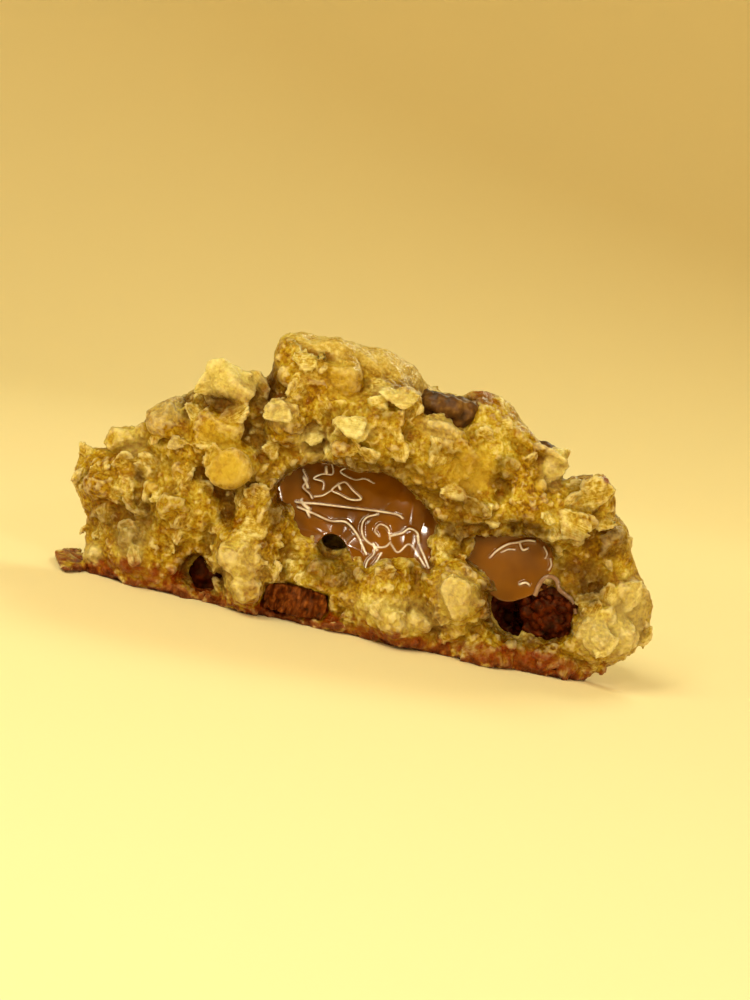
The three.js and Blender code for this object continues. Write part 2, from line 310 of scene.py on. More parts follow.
# %% Rolled oats
FLAKES_APART = 3.0
FLAKE_WIDTH, FLAKE_THICKNESS = 0.72, 0.15
GROOVE_DEPTH, GROOVE_WIDTH = 0.05, 0.07


def flake_shape(number):
    """A torn rolled oat one unit long: a thin oval plate with straight tears, a crease and a curl."""
    deselect()
    bpy.ops.mesh.primitive_uv_sphere_add(segments=28, ring_count=8, radius=0.5)
    flake = bpy.context.active_object
    flake.scale = (1.0, FLAKE_WIDTH, FLAKE_THICKNESS)
    shift_points(flake, FLAKES_APART * number)
    for direction in ("X", "Y"):
        roughen(flake, 0.16, 0.3, direction=direction)
    roughen(flake, 0.3, 0.1, direction="Z")
    shift_points(flake, -FLAKES_APART * number)
    place = points(flake)
    for cut in range(4):
        turn = 1.7 * number + 1.9 * cut
        way = np.array([math.cos(turn), math.sin(turn), 0.0])
        edge = 0.26 + 0.035 * ((3 * number + 2 * cut) % 4)
        place -= np.maximum(place @ way - edge, 0)[:, None] * way
    x, y = place[:, 0], place[:, 1]
    curl = 0.3 * (number - 2)
    place[:, 2] += curl * (x * x - 0.06) + 0.25 * curl * x * y
    place[:, 2] -= GROOVE_DEPTH * np.exp(-((y / GROOVE_WIDTH) ** 2)) * (place[:, 2] > 0)
    set_points(flake, place)
    return shape_of(flake)


FLAKES = [flake_shape(number) for number in range(6)]
report("the shapes are made")

# %% [markdown]
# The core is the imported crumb, smoothed until its facets go. Everything on the break is placed by x, in
# millimetres from the left end of the break, and z above the base. A ray from the front finds how deep
# the core lies there.

# %% The core
LEFT_END = -39.8
TOWARDS_BREAK = Vector((0, 1, 0))
# Soft pushes of the outline: x, z, reach, sideways and up.
PUSHES = [
    (9.0, 28.0, 6.5, 0.3, -2.2), (19.5, 34.5, 5.5, 0.4, -2.0), (33.0, 39.0, 7.0, 0.0, 1.2),
    (-0.5, 17.0, 6.0, -1.3, 0.0), (0.0, 6.0, 4.0, -0.5, 0.0), (80.5, 12.0, 6.0, 0.9, 0.0),
    (23.6, 33.4, 1.8, 0.0, -1.2), (64.8, 27.6, 1.6, -0.4, -0.6), (1.4, 21.2, 4.0, 1.7, -2.2),
    (9.0, 22.6, 1.8, 0.0, -1.4), (25.2, 36.6, 3.0, -1.9, 1.4), (61.5, 33.6, 4.5, -0.4, -1.5),
]


def pushed(places):
    moved = places.copy()
    x, z = places[:, 0] / MM - LEFT_END, places[:, 2] / MM
    for cx, cz, reach, sideways, up in PUSHES:
        share = np.exp(-((x - cx) ** 2 + (z - cz) ** 2) / reach**2)
        moved[:, 0] += sideways * share * MM
        moved[:, 2] += up * share * np.minimum(z / 5, 1) * MM
    return moved


crumb = copy_of_node("crumb", "baked_crumb")
skin(crumb, 0.6 * MM, 5)
set_points(crumb, pushed(points(crumb)))
core = tree_of(crumb)
report(f"the core has {len(triangles(crumb))} triangles")


# %% Spots on the break
# The mean break: its middle, how far it bows back at its ends, and how much it leans back upwards.
BREAK_MIDDLE = (-0.3, -16.3)
HALF_BREAK = 40.0
BREAK_BOW = 5.5
BREAK_LEAN = 0.05


def spot_on(tree, x, z):
    start = Vector(((LEFT_END + x) * MM, -100 * MM, z * MM))
    place, normal, _, _ = tree.ray_cast(start, TOWARDS_BREAK)
    return place, normal


def behind_break(places):
    """How far behind the mean break each point lies, in millimetres."""
    x, y, z = (places / MM).T
    bow = BREAK_BOW * (np.abs(x - BREAK_MIDDLE[0]) / HALF_BREAK) ** 3
    return y - BREAK_MIDDLE[1] - bow - BREAK_LEAN * z


# %% [markdown]
# The chocolate has its own outline in the break. It is drawn here as corners in millimetres, because it sets
# two things: the form of the melted chocolate, and where no crumb may lie.

# %% Outlines: x from the left end of the break, z above the base
POOL = [
    (26.4, 15.6), (26.2, 17.8), (27.0, 20.0), (29.2, 21.6), (31.5, 22.6), (34.4, 22.8), (36.8, 22.3),
    (39.8, 23.0), (42.4, 22.5), (44.8, 21.2), (47.3, 19.5), (49.4, 17.5), (49.2, 16.0), (48.2, 15.0),
    (49.0, 12.8), (49.6, 10.6), (48.6, 10.8), (46.6, 12.3), (44.6, 11.8), (42.8, 11.0), (41.4, 10.0),
    (40.5, 9.0), (39.8, 10.4), (38.8, 12.0), (37.2, 13.6), (35.2, 14.2), (33.4, 13.6), (32.2, 12.0),
    (30.8, 11.8), (30.0, 13.6), (28.4, 15.6),
]
RIGHT_POOL = [
    (53.6, 13.3), (54.4, 15.4), (56.4, 17.4), (60.0, 18.4), (62.9, 18.8), (65.0, 18.0), (66.0, 16.2),
    (65.6, 13.7), (64.2, 12.4), (61.9, 10.8), (60.0, 10.1), (57.9, 11.0), (56.0, 12.2),
]
HOLLOW = [
    (56.4, 10.6), (59.0, 10.4), (62.0, 11.0), (64.0, 12.4), (66.4, 13.0), (68.8, 11.6), (71.0, 9.6),
    (70.8, 7.2), (69.6, 5.4), (66.9, 4.3), (64.4, 4.8), (62.3, 3.7), (60.2, 4.9), (58.4, 7.0),
]
CHUNK = [(27.4, 4.7), (31.9, 5.6), (36.6, 5.2), (37.0, 2.7), (36.4, 1.2), (27.6, 1.2)]
LEFT_PIT = [(14.6, 1.8), (15.2, 4.6), (16.8, 6.8), (19.0, 6.6), (20.4, 4.4), (20.4, 1.4)]
CROWN_CHIP = [(44.8, 33.2), (45.8, 35.2), (48.8, 35.6), (50.2, 34.2), (49.4, 32.8), (46.6, 32.6)]
CAVE = [(34.8, 10.8), (34.6, 12.6), (36.0, 13.6), (37.4, 12.6), (37.4, 11.2), (36.2, 10.4)]
CLEAR = [POOL, RIGHT_POOL, HOLLOW, CHUNK, LEFT_PIT, CROWN_CHIP, CAVE]


# %% Smooth lines, and how far a spot is from an outline
def smooth_line(rows, steps=8, closed=False):
    """A Catmull-Rom curve through (x, z) places."""
    p = np.array(rows, float)
    ring = np.vstack([p[-1], p, p[:2]]) if closed else np.vstack([2 * p[0] - p[1], p, 2 * p[-1] - p[-2]])
    line = []
    for before, here, there, after in zip(ring, ring[1:], ring[2:], ring[3:]):
        for t in np.linspace(0, 1, steps, endpoint=False):
            slope = there - before
            bend = 2 * before - 5 * here + 4 * there - after
            twist = 3 * here - before - 3 * there + after
            line.append(0.5 * (2 * here + slope * t + bend * t**2 + twist * t**3))
    return np.array(line)


def outside_by(outline, x, z):
    """How far each (x, z) lies outside a closed outline. It is negative inside."""
    x, z = np.asarray(x, float)[..., None], np.asarray(z, float)[..., None]
    starts = np.array(outline)
    right, up = (np.roll(starts, -1, 0) - starts).T
    share = np.clip(((x - starts[:, 0]) * right + (z - starts[:, 1]) * up) / (right**2 + up**2), 0, 1)
    far = np.hypot(starts[:, 0] + share * right - x, starts[:, 1] + share * up - z).min(-1)
    crossed = (starts[:, 1] > z) != (starts[:, 1] + up > z)
    meets = starts[:, 0] + (z - starts[:, 1]) * right / np.where(up == 0, 1, up)
    inside = (crossed & (x < meets)).sum(-1) % 2 == 1
    return np.where(inside, -far, far)


def is_clear(x, z, reach):
    return all(outside_by(outline, x, z) > reach for outline in CLEAR)


# %% [markdown]
# Each pool has a face, and each hollow has a back wall. Crumb that still lies before one is moved back to
# it, over a slope, so that the pool shows and the hollow stays open.


# %% Faces and back walls, as y in millimetres
def pool_front(x, z):
    """The pool leans back, and its lowest drips come forward over the crumb."""
    drips, top = np.maximum(13.0 - z, 0), np.maximum(z - 19.0, 0)
    return -14.2 - 0.2 * (16 - z) - 0.4 * drips + 0.3 * top


def right_front(x, z):
    return -13.8 - 0.16 * (14 - z)


BEHIND_FACE = 0.9


def cleared(places):
    """The places, with what lies before a face moved back to it, over a slope as wide as given."""
    moved = places.copy()
    x, z = places[:, 0] / MM - LEFT_END, places[:, 2] / MM
    near = behind_break(places) < 6
    for outline, face, slope in (
        (POOL, pool_front(x, z) + BEHIND_FACE, 0.4),
        (RIGHT_POOL, right_front(x, z) + BEHIND_FACE, 0.4),
        (HOLLOW, -10.0, 2.2),
        (LEFT_PIT, -12.5, 1.4),
        (CAVE, -12.0, 0.9),
        (CHUNK, -15.5, 0.4),
    ):
        share = smoothstep(0.2, -slope, outside_by(outline, x, z)) * near
        moved[:, 1] += share * np.maximum(face * MM - moved[:, 1], 0)
    return moved


# %% [markdown]
# Some parts of the break are calm: the crust that folds over the crown, and lumps of dough that stayed
# whole. Ellipses mark them, so that no small grain is put there and the relief is weaker.

# %% Calm crust over the crown, and calm lumps: x, z, half width, half height and strength
CROWN = [(30.5, 38.6, 7.0, 2.6, 1.0), (38.5, 38.2, 6.5, 2.8, 1.0), (43.2, 36.2, 2.4, 2.0, 0.8)]
CALM = [
    (17.4, 24.0, 3.9, 3.5, 0.7), (10.0, 23.2, 3.8, 3.6, 0.6), (17.0, 30.8, 5.0, 3.0, 0.7),
    (32.3, 34.6, 2.6, 3.1, 0.6), (4.0, 18.6, 3.4, 2.8, 0.6), (24.6, 28.0, 2.6, 2.2, 0.6),
    (73.2, 19.5, 2.8, 3.2, 0.5), (62.6, 29.0, 2.2, 3.3, 0.6), (77.0, 10.5, 3.0, 6.0, 0.5),
    (67.0, 21.6, 2.9, 2.4, 0.6), (19.8, 19.2, 3.2, 2.7, 0.9), (30.0, 25.0, 2.6, 2.2, 0.5),
    (51.5, 26.0, 3.2, 3.4, 0.6), (23.5, 6.5, 3.4, 3.6, 0.4), (53.4, 9.4, 3.0, 2.8, 0.4),
    (46.5, 30.8, 3.2, 1.8, 0.4),
]


def lies_on(rows, x, z):
    return any(math.hypot((x - cx) / wide, (z - cz) / high) < 0.9 for cx, cz, wide, high, _ in rows)


# %% [markdown]
# The large clods and the flakes that stand out are listed, one row each, as they lie on the real break. The
# rest is spread at random with a fixed seed.

# %% Clods: x, z, half width, half height, how far out
HAND_CLODS = [
    (4.2, 18.8, 3.4, 3.0, 2.2), (2.4, 13.0, 2.4, 2.2, 1.8), (10.0, 23.2, 4.0, 3.8, 1.8),
    (6.6, 20.8, 1.4, 1.8, 0.6), (17.4, 24.0, 3.9, 3.5, 2.0), (24.6, 28.0, 2.4, 2.1, 1.6),
    (24.8, 33.0, 1.9, 2.3, 1.0), (17.6, 30.6, 4.4, 2.4, 2.4), (13.4, 12.0, 3.0, 2.8, 1.2),
    (23.5, 7.5, 3.9, 3.7, 1.9), (25.2, 3.6, 2.2, 3.0, 1.6), (3.1, 2.9, 1.7, 2.0, 1.2),
    (8.5, 6.4, 2.2, 2.6, 1.0), (40.0, 33.6, 3.3, 1.6, 1.6), (34.9, 28.2, 2.8, 1.2, 1.5),
    (41.5, 27.0, 2.8, 2.2, 1.4), (30.0, 25.3, 3.0, 2.4, 1.2), (46.5, 30.8, 3.5, 2.0, 1.5),
    (53.2, 9.4, 3.4, 3.2, 1.9), (44.5, 4.6, 2.4, 1.9, 1.2), (54.5, 3.8, 2.2, 2.0, 1.0),
    (62.6, 29.0, 2.2, 3.3, 1.2), (57.0, 31.6, 3.8, 1.9, 1.2), (67.0, 21.6, 2.9, 2.4, 1.3),
    (73.0, 19.5, 2.9, 3.2, 1.2), (73.4, 7.6, 2.9, 2.9, 1.7), (77.0, 13.0, 2.5, 3.0, 1.1),
    (77.0, 8.0, 2.3, 3.0, 0.9), (52.0, 26.5, 3.0, 2.6, 1.0), (56.5, 27.0, 2.4, 2.8, 1.0),
    (38.5, 5.6, 2.6, 2.2, 1.0), (48.5, 4.4, 2.6, 2.2, 1.0), (34.8, 8.2, 2.6, 1.9, 0.6),
]
SMOOTH_CLODS = [
    (19.8, 19.2, 3.2, 2.7, 1.9), (9.7, 14.2, 1.1, 1.1, 1.2), (61.3, 25.9, 0.9, 0.9, 1.3),
    (32.3, 34.6, 2.6, 3.1, 1.8), (33.8, 25.3, 1.6, 1.1, 1.4), (50.0, 22.3, 1.8, 1.0, 1.4),
    (36.5, 7.2, 1.3, 1.0, 0.8), (13.2, 17.4, 1.5, 1.3, 0.9),
]

# %% Flakes: x, z, length, width, turn in the face, lean, how far out
HAND_FLAKES = [
    (15.8, 30.0, 8.2, 5.0, 22, 12, 1.7), (20.2, 30.8, 6.4, 4.6, -38, 6, 1.7),
    (4.8, 19.4, 5.6, 4.4, 55, -20, 1.6), (1.8, 13.2, 5.4, 3.4, -34, -25, 1.3),
    (8.8, 21.6, 5.0, 2.2, -82, 35, 2.2), (11.8, 21.0, 3.8, 2.4, 8, -35, 2.2),
    (7.8, 6.4, 7.4, 2.4, -58, 35, 1.8), (9.2, 4.6, 5.0, 2.2, -62, -35, 1.8),
    (34.8, 28.4, 6.2, 3.4, 6, -35, 2.4), (40.4, 33.7, 6.2, 3.4, 4, -35, 2.2),
    (41.2, 27.2, 6.0, 3.0, -58, 25, 1.8), (24.6, 28.4, 4.8, 4.2, 30, -18, 2.2),
    (50.0, 22.6, 4.2, 2.6, 12, -30, 1.9), (46.6, 31.2, 6.0, 3.4, -18, -30, 2.0),
    (68.6, 26.2, 7.0, 5.2, 22, 10, 1.5), (66.8, 21.6, 6.0, 4.4, -10, -14, 2.0),
    (71.0, 22.4, 4.2, 2.6, 18, -35, 1.8), (77.0, 13.6, 5.0, 3.6, 66, -10, 1.3),
    (57.4, 31.8, 6.4, 3.0, -28, -30, 1.4), (26.2, 31.2, 5.0, 2.8, 62, 20, 1.8),
    (5.2, 16.8, 4.6, 3.2, 20, 28, 1.4), (19.0, 26.8, 4.8, 3.4, 40, -24, 2.0),
    (13.6, 25.4, 4.6, 3.0, -20, -30, 1.8), (37.6, 25.2, 5.4, 2.4, -14, 35, 1.8),
    (29.6, 26.0, 4.6, 3.2, 34, -12, 1.8), (62.8, 28.6, 5.0, 3.6, 78, -12, 1.9),
    (74.6, 6.6, 4.6, 3.4, 40, -22, 2.0),
]

# %% [markdown]
# Each copy is placed by a matrix: its size, then its turn, then its centre. It is sunk into the core, so
# that only a part stands out, as crumb is stuck in dough.

# %% Placing one
# Clods stand out this much further than their rows say.
STANDS_OUT = 1.1


def placing(shapes, centre, turn, sizes):
    scale = Matrix.Diagonal((sizes[0] * MM, sizes[1] * MM, sizes[2] * MM, 1.0))
    return shapes[rng.integers(len(shapes))], Matrix.Translation(centre) @ turn.to_4x4() @ scale


def any_turn():
    axis = Vector(rng.normal(size=3)).normalized()
    return Matrix.Rotation(rng.uniform(0, math.tau), 3, axis)


def hand_clod(shapes, row):
    """A clod that is about as deep as it is narrow."""
    x, z, wide, high, out = row
    place, _ = spot_on(core, x, z)
    deep = 0.75 * min(wide, high) + 0.3
    turn = Matrix.Rotation(rng.uniform(-0.5, 0.5), 3, "Y")
    back = Vector((0, (deep - STANDS_OUT * out) * MM, 0))
    return placing(shapes, place + back, turn, (wide, deep, high))


def flake(place, length, width, turn, lean, out):
    """A flake that faces out of the break, turned and leaning in degrees. A long one is thicker."""
    facing = Matrix.Rotation(math.radians(-turn), 3, "Y") @ Matrix.Rotation(math.radians(90 + lean), 3, "X")
    centre = place + Vector((0, (0.9 - out) * MM, 0))
    return placing(FLAKES, centre, facing, (length, width / FLAKE_WIDTH, 0.5 * length + 1.8))


def hand_flake(row):
    x, z, *form = row
    return flake(spot_on(core, x, z)[0], *form)


# %% Spreading at random
BREAK_BACK = -3.5 * MM
SPREAD_X, SPREAD_Z = (-2, 82), (0.2, 39)
LARGE = 1.5


def scattered(count, low, high, edge):
    """Random spots on the break, clear of chocolate and of its rim, with sizes that are mostly small."""
    made = 0
    while made < count:
        x, z = rng.uniform(*SPREAD_X), rng.uniform(*SPREAD_Z)
        size = low * (high / low) ** (rng.random() ** 1.6)
        place, normal = spot_on(core, x, z)
        if place is None or place.y > BREAK_BACK or normal.y > -edge or lies_on(CROWN, x, z):
            continue
        if size < LARGE and lies_on(CALM, x, z):
            continue
        if not is_clear(x, z, 0.1 * size):
            continue
        made += 1
        yield size, place, normal


def scattered_clods(shapes, count, low, high, sunk):
    for size, place, normal in scattered(count, low, high, 0.25):
        centre = place - normal * (size - rng.uniform(*sunk) * size) * MM
        yield placing(shapes, centre, any_turn(), size * rng.uniform(0.65, 1.3, 3))


def scattered_flakes(count, low, high):
    for size, place, _ in scattered(count, low, high, 0.5):
        width = size * rng.uniform(0.5, 0.85)
        turn, lean = rng.uniform(-90, 90), rng.normal(0, 30)
        yield flake(place, size, width, turn, lean, rng.uniform(0.8, 1.6))


# %% Crumb along the edge of the chocolate
BESIDE = 1.1


def rim(outline, share, hangs_free):
    """Grains on the crumb just outside an outline, which reach over the chocolate here and there."""
    line = smooth_line(outline, 6, closed=True)
    along = np.roll(line, -1, 0) - line
    outwards = np.column_stack([-along[:, 1], along[:, 0]]) / np.hypot(*along.T)[:, None]
    for (x, z), (right, up) in zip(line, outwards):
        place, _ = spot_on(core, x + BESIDE * right, z + BESIDE * up)
        if hangs_free(x, z) or place is None or place.y > BREAK_BACK or rng.random() > share:
            continue
        size = rng.uniform(0.5, 1.4)
        beside = rng.uniform(-0.5, 0.9)
        middle_x, middle_z = LEFT_END + x + beside * right, z + beside * up
        centre = Vector((middle_x * MM, place.y + 0.5 * size * MM, middle_z * MM))
        yield placing(GRAINS, centre, any_turn(), size * rng.uniform(0.7, 1.3, 3))


# %% Flakes in the crust
CRUST_MIDDLE = Vector((0, -14 * MM, 3 * MM))
CRUST_TOP = 34 * MM


def crust_flakes(count):
    """Flakes that lie at random in the crust, but not on its top, where they would stand up like twigs."""
    made = 0
    while made < count:
        turn, rise = rng.uniform(0.02, 0.98) * math.pi, math.asin(rng.uniform(0.12, 0.98))
        way = Vector((math.cos(turn) * math.cos(rise), math.sin(turn) * math.cos(rise), math.sin(rise)))
        place, normal, _, _ = core.ray_cast(CRUST_MIDDLE + way * 0.1, -way)
        if behind_break(np.array([place]))[0] < 4 or place.z > CRUST_TOP:
            continue
        made += 1
        normal = (normal + way).normalized()
        spin = Matrix.Rotation(rng.uniform(0, math.tau), 3, "Z")
        lying = normal.to_track_quat("Z", "Y").to_matrix() @ spin
        length = rng.uniform(3.0, 5.5)
        sizes = (length, length * rng.uniform(0.7, 1.1), 0.4 * length + 2.0)
        yield placing(FLAKES[1:4], place + normal * rng.uniform(-0.5, -0.2) * MM, lying, sizes)


# %% All the copies
# A thin lip of the base sticks out at the far left: its centre, its slope and its sizes.
LIP_CENTRE = Vector(((LEFT_END - 0.5) * MM, -9 * MM, 0.7 * MM))
LIP_SLOPE = 0.06
LIP_SIZES = (2.9, 8.0, 0.8)

places = [hand_clod(CLODS, row) for row in HAND_CLODS]
places += [hand_clod(PEARLS, row) for row in SMOOTH_CLODS]
places.append(placing(CLODS, LIP_CENTRE, Matrix.Rotation(LIP_SLOPE, 3, "Y"), LIP_SIZES))
places += scattered_clods(CLODS, 70, 1.6, 3.4, (0.1, 0.45))
places += scattered_clods(GRAINS, 220, 0.7, 1.5, (0.15, 0.6))
places += scattered_clods(GRAINS, 1500, 0.32, 0.55, (0.5, 1.1))
places += rim(POOL, 0.9, lambda x, z: z < 14.9 and x > 29)
places += rim(RIGHT_POOL, 0.8, lambda x, z: z < 12.2 and x > 58)
places += rim(HOLLOW, 0.5, lambda x, z: z > 9.4)
places += rim(CHUNK, 0.4, lambda x, z: z < 3.0)
places += rim(LEFT_PIT, 0.5, lambda x, z: z < 1.8)
places += rim(CROWN_CHIP, 0.8, lambda x, z: z > 33.8)
FLAKES_FROM = len(places)
places += [hand_flake(row) for row in HAND_FLAKES]
places += scattered_flakes(170, 2.0, 5.0)
places += crust_flakes(90)
litter, owner = copies("litter", places)
litter_tree = tree_of(litter)
report(f"{FLAKES_FROM} clods and grains, {len(places) - FLAKES_FROM} flakes, {len(owner)} triangles")

# %% [markdown]
# Joined meshes still overlap. A voxel remesh melts them into one closed skin, as dough sticks together in
# the oven. Its voxels are finer than the smallest grain, and the skin isn't smoothed, which would take the
# grains away.

# %% One skin
join([crumb, litter])
set_points(crumb, cleared(points(crumb)))
modify(crumb, "REMESH", mode="VOXEL", voxel_size=0.27 * MM)
report(f"fused into {len(crumb.data.polygons)} faces")


# %% [markdown]
# The torn part has coarse and fine ridges. The baked crust has cracked plates and soft bumps. Two vertex
# groups say how much of each a point gets, and the relief is then limited to a group. A point in front of
# the break belongs to the tear, and one behind it to the crust.

# %% Soft spots painted on the break
FULL_TO, NONE_FROM = 0.55, 1.25
PAINT_DEPTH = 7


def painted(places, rows):
    """Each row is x, z, half width, half height and strength. Returns the strength at each point."""
    x, z = places[:, 0] / MM - LEFT_END, places[:, 2] / MM
    left = np.ones(len(places))
    for cx, cz, wide, high, strength in rows:
        far = np.hypot((x - cx) / wide, (z - cz) / high)
        left *= 1 - strength * (1 - smoothstep(FULL_TO, NONE_FROM, far))
    return (1 - left) * (behind_break(places) < PAINT_DEPTH)


# %% Where the skin is torn, and how rough it is there
WEIGHT_STEPS = 20
TORN_TO, CRUST_FROM = 2.0, 5.5
CALMED = 0.8


def weigh(piece, name, weights):
    group = piece.vertex_groups.new(name=name)
    steps = np.round(np.clip(weights, 0, 1) * WEIGHT_STEPS).astype(int)
    for step in range(1, WEIGHT_STEPS + 1):
        group.add(np.flatnonzero(steps == step).tolist(), step / WEIGHT_STEPS, "REPLACE")


place = points(crumb)
torn = (1 - smoothstep(TORN_TO, CRUST_FROM, behind_break(place))) * (1 - CALMED * painted(place, CROWN))
weigh(crumb, "rough", torn * (1 - CALMED * painted(place, CALM)))
weigh(crumb, "crust", 1 - torn)
tear(crumb, 2.6 * MM, 0.7 * MM, 3, "rough")
tear(crumb, 0.9 * MM, 0.4 * MM, 2, "rough")
crack(crumb, 10.0 * MM, 1.3 * MM, "crust")
roughen(crumb, 3.2 * MM, 0.9 * MM, 4, "crust")
roughen(crumb, 0.8 * MM, 0.3 * MM, 3, "crust")

# %% [markdown]
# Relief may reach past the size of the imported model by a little. Points that go further are squeezed
# softly, so that no clod gets a flat front, and the base is set level. Then points are taken away where
# the skin is nearly flat, to keep the mesh light.

# %% Within its size
PAST_FRONT, PAST_TOP = 0.4 * MM, 0.2 * MM
SQUEEZE = 0.8 * MM
MOST_TRIANGLES = 195000


def too_far(past):
    """What to take off each distance past a limit, so that no more than the squeeze is left."""
    past = np.maximum(past, 0)
    return past - SQUEEZE * np.tanh(past / SQUEEZE)


place = points(crumb)
place[:, 1] += too_far(CAD_BOX[0][1] - PAST_FRONT - place[:, 1])
place[:, 2] -= too_far(place[:, 2] - CAD_BOX[1][2] - PAST_TOP)
place[:, 2] = np.maximum(place[:, 2], 0.0)
set_points(crumb, place)
modify(crumb, "DECIMATE", ratio=min(1.0, MOST_TRIANGLES / len(triangles(crumb))))
declare(crumb, "crumb", "crumb")

# %% [markdown]
# The eye reads crumb by colour as much as by shape. Ridges are painted pale as a highlight, hollows and
# creases are darkened as painted shade, and each clod has its own tone. These are measured on the finished
# mesh and written as attributes, which the material reads.


# %% Ridges and creases
def edge_ends(piece):
    flat = np.empty(2 * len(piece.data.edges), np.int32)
    piece.data.edges.foreach_get("vertices", flat)
    return flat.reshape(-1, 2)


def relaxed(values, ends, rounds):
    """Each point moves half way to the mean of its neighbours, many times over."""
    a, b = ends[:, 0], ends[:, 1]
    size = len(values)
    count = np.maximum(np.bincount(a, minlength=size) + np.bincount(b, minlength=size), 1)
    now = values.copy()
    for _ in range(rounds):
        for k in range(now.shape[1]):
            total = np.bincount(a, now[b, k], size) + np.bincount(b, now[a, k], size)
            now[:, k] = 0.5 * (now[:, k] + total / count)
    return now


def write_measure(name, values):
    """Writes millimetres for each point of the crumb, and prints their spread."""
    write_attribute(crumb, name, values)
    report(f"{name} {np.percentile(values, [5, 50, 95]).round(2)} mm")


place, outward, ends = points(crumb), normals(crumb), edge_ends(crumb)
# The material darkens creases by these as painted shade, and paints ridges pale as a highlight.
for name, rounds in (("fine", 6), ("broad", 50)):
    write_measure(name, ((place - relaxed(place, ends, rounds)) * outward).sum(1) / MM)


# %% Hollows
# The map of the break: its lower left corner and its squares in millimetres, and how many squares.
MAP_LEFT, MAP_LOW, MAP_SQUARE = -45, -2, 0.5
MAP_COLUMNS, MAP_ROWS = 180, 90


def behind_neighbours(places, rounds):
    """How far each point lies behind the foremost crumb round it, from a blurred map of the break."""
    depth = behind_break(places)
    column = np.clip((places[:, 0] / MM - MAP_LEFT) / MAP_SQUARE, 0, MAP_COLUMNS - 1).astype(int)
    row = np.clip((places[:, 2] / MM - MAP_LOW) / MAP_SQUARE, 0, MAP_ROWS - 1).astype(int)
    grid = np.full((MAP_COLUMNS, MAP_ROWS), 3.0)
    np.minimum.at(grid, (column, row), depth)
    for _ in range(rounds):
        for axis in (0, 1):
            grid = (np.roll(grid, 1, axis) + grid + np.roll(grid, -1, axis)) / 3
    return np.clip(depth - grid[column, row], -3, 6)


# The material darkens pits and hollows by these measures, as painted shade.
for name, rounds in (("pit", 10), ("hollow", 70)):
    write_measure(name, behind_neighbours(place, rounds))

# %% Which clod or flake each point belongs to, and where in the flake it lies
REACH = 1.2 * MM
shades = rng.normal(0.0, 1.0, len(places))
found = [litter_tree.find_nearest(spot, REACH)[2:] for spot in place.tolist()]
of_copy = np.array([-1 if face is None else owner[face] for face, _ in found])
gap = np.array([REACH if face is None else far for face, far in found]) / MM
back = np.array([np.linalg.inv(np.array(matrix)) for _, matrix in places])[of_copy]
local = np.einsum("nij,nj->ni", back[:, :3, :3], place) + back[:, :3, 3]
broken = (1 - smoothstep(0.6, 2.6, behind_break(place))) * (1 - painted(place, CROWN))
write_attribute(crumb, "shade", np.where(of_copy < 0, 0.0, shades[of_copy]))
write_attribute(crumb, "oat", (of_copy >= FLAKES_FROM) * (1 - smoothstep(0.25, 0.6, gap)))
write_attribute(crumb, "along", local[:, 0])
write_attribute(crumb, "across", local[:, 1])
write_attribute(crumb, "broken", broken)

# %% [markdown]
# Colour is uneven too. Chocolate stained the crumb next to it, and dark spots also paint shadow in gaps,
# cracks and pits and under overhangs. Given clods and flakes are paler, wet dough is amber, recesses get
# olive brown painted shade, and the base is toasted. Each list has its spots by place and size, read off the
# real break. Above a pool or hollow a band of stain and painted shadow, as under an overhang, follows its
# edge.

# %% Spots of stain and painted shadow, pale, toasted, painted shade and wet: x, z, half width, half height and strength
# Chocolate stains, and painted shadow in gaps, cracks, pits and under overhangs.
STAINS_AND_SHADOWS = [
    (56.0, 26.2, 2.2, 3.4, 0.8), (73.2, 19.8, 2.6, 2.8, 0.7), (47.4, 11.2, 1.8, 1.3, 0.8),
    (52.0, 17.2, 2.6, 1.8, 0.8), (27.2, 15.4, 1.8, 2.8, 0.9), (20.5, 12.3, 1.5, 1.4, 0.7),
    (16.8, 27.2, 2.8, 1.7, 0.7), (35.3, 34.5, 0.9, 0.9, 0.7), (7.5, 15.2, 1.0, 1.0, 0.9),
    (71.6, 12.8, 2.4, 2.4, 0.7), (67.8, 24.0, 4.0, 0.5, 0.7), (47.5, 19.5, 1.8, 1.6, 0.6),
    (61.0, 19.8, 3.8, 1.3, 0.8), (55.0, 18.4, 1.8, 0.9, 0.9), (18.0, 4.0, 3.0, 3.2, 0.9),
    (64.0, 7.2, 7.4, 4.6, 0.9), (35.2, 11.8, 2.6, 2.2, 0.8), (37.4, 23.6, 4.0, 0.8, 0.8),
    (44.0, 21.9, 4.0, 0.9, 0.7), (50.0, 36.0, 3.0, 1.4, 0.7),
]
PALE = [
    (16.5, 30.8, 4.8, 3.2, 0.8), (24.5, 28.0, 2.4, 2.2, 0.7), (39.4, 33.7, 3.0, 1.3, 0.8),
    (35.0, 28.2, 3.0, 1.3, 0.8), (30.0, 25.0, 2.8, 2.4, 0.7), (62.8, 28.8, 2.0, 3.2, 0.8),
    (9.8, 25.4, 3.0, 2.0, 0.5), (77.4, 10.0, 3.4, 6.2, 0.8), (73.2, 7.4, 2.8, 3.0, 0.8),
    (53.4, 9.4, 3.2, 3.0, 0.6), (47.0, 5.0, 8.0, 2.4, 0.5), (23.5, 6.0, 4.0, 4.4, 0.5),
    (3.1, 2.8, 1.6, 1.8, 0.8), (5.0, 19.5, 2.4, 2.2, 0.5), (8.2, 6.2, 2.4, 3.0, 0.5),
    (46.5, 30.8, 3.2, 1.8, 0.5),
]
TOASTED = [
    (11.0, 2.2, 7.0, 2.4, 0.7), (64.0, 1.6, 11.0, 2.0, 0.9), (46.0, 0.8, 9.0, 1.6, 0.9),
    (50.5, 36.2, 3.0, 1.4, 0.6), (70.2, 28.6, 0.9, 0.7, 0.9),
]
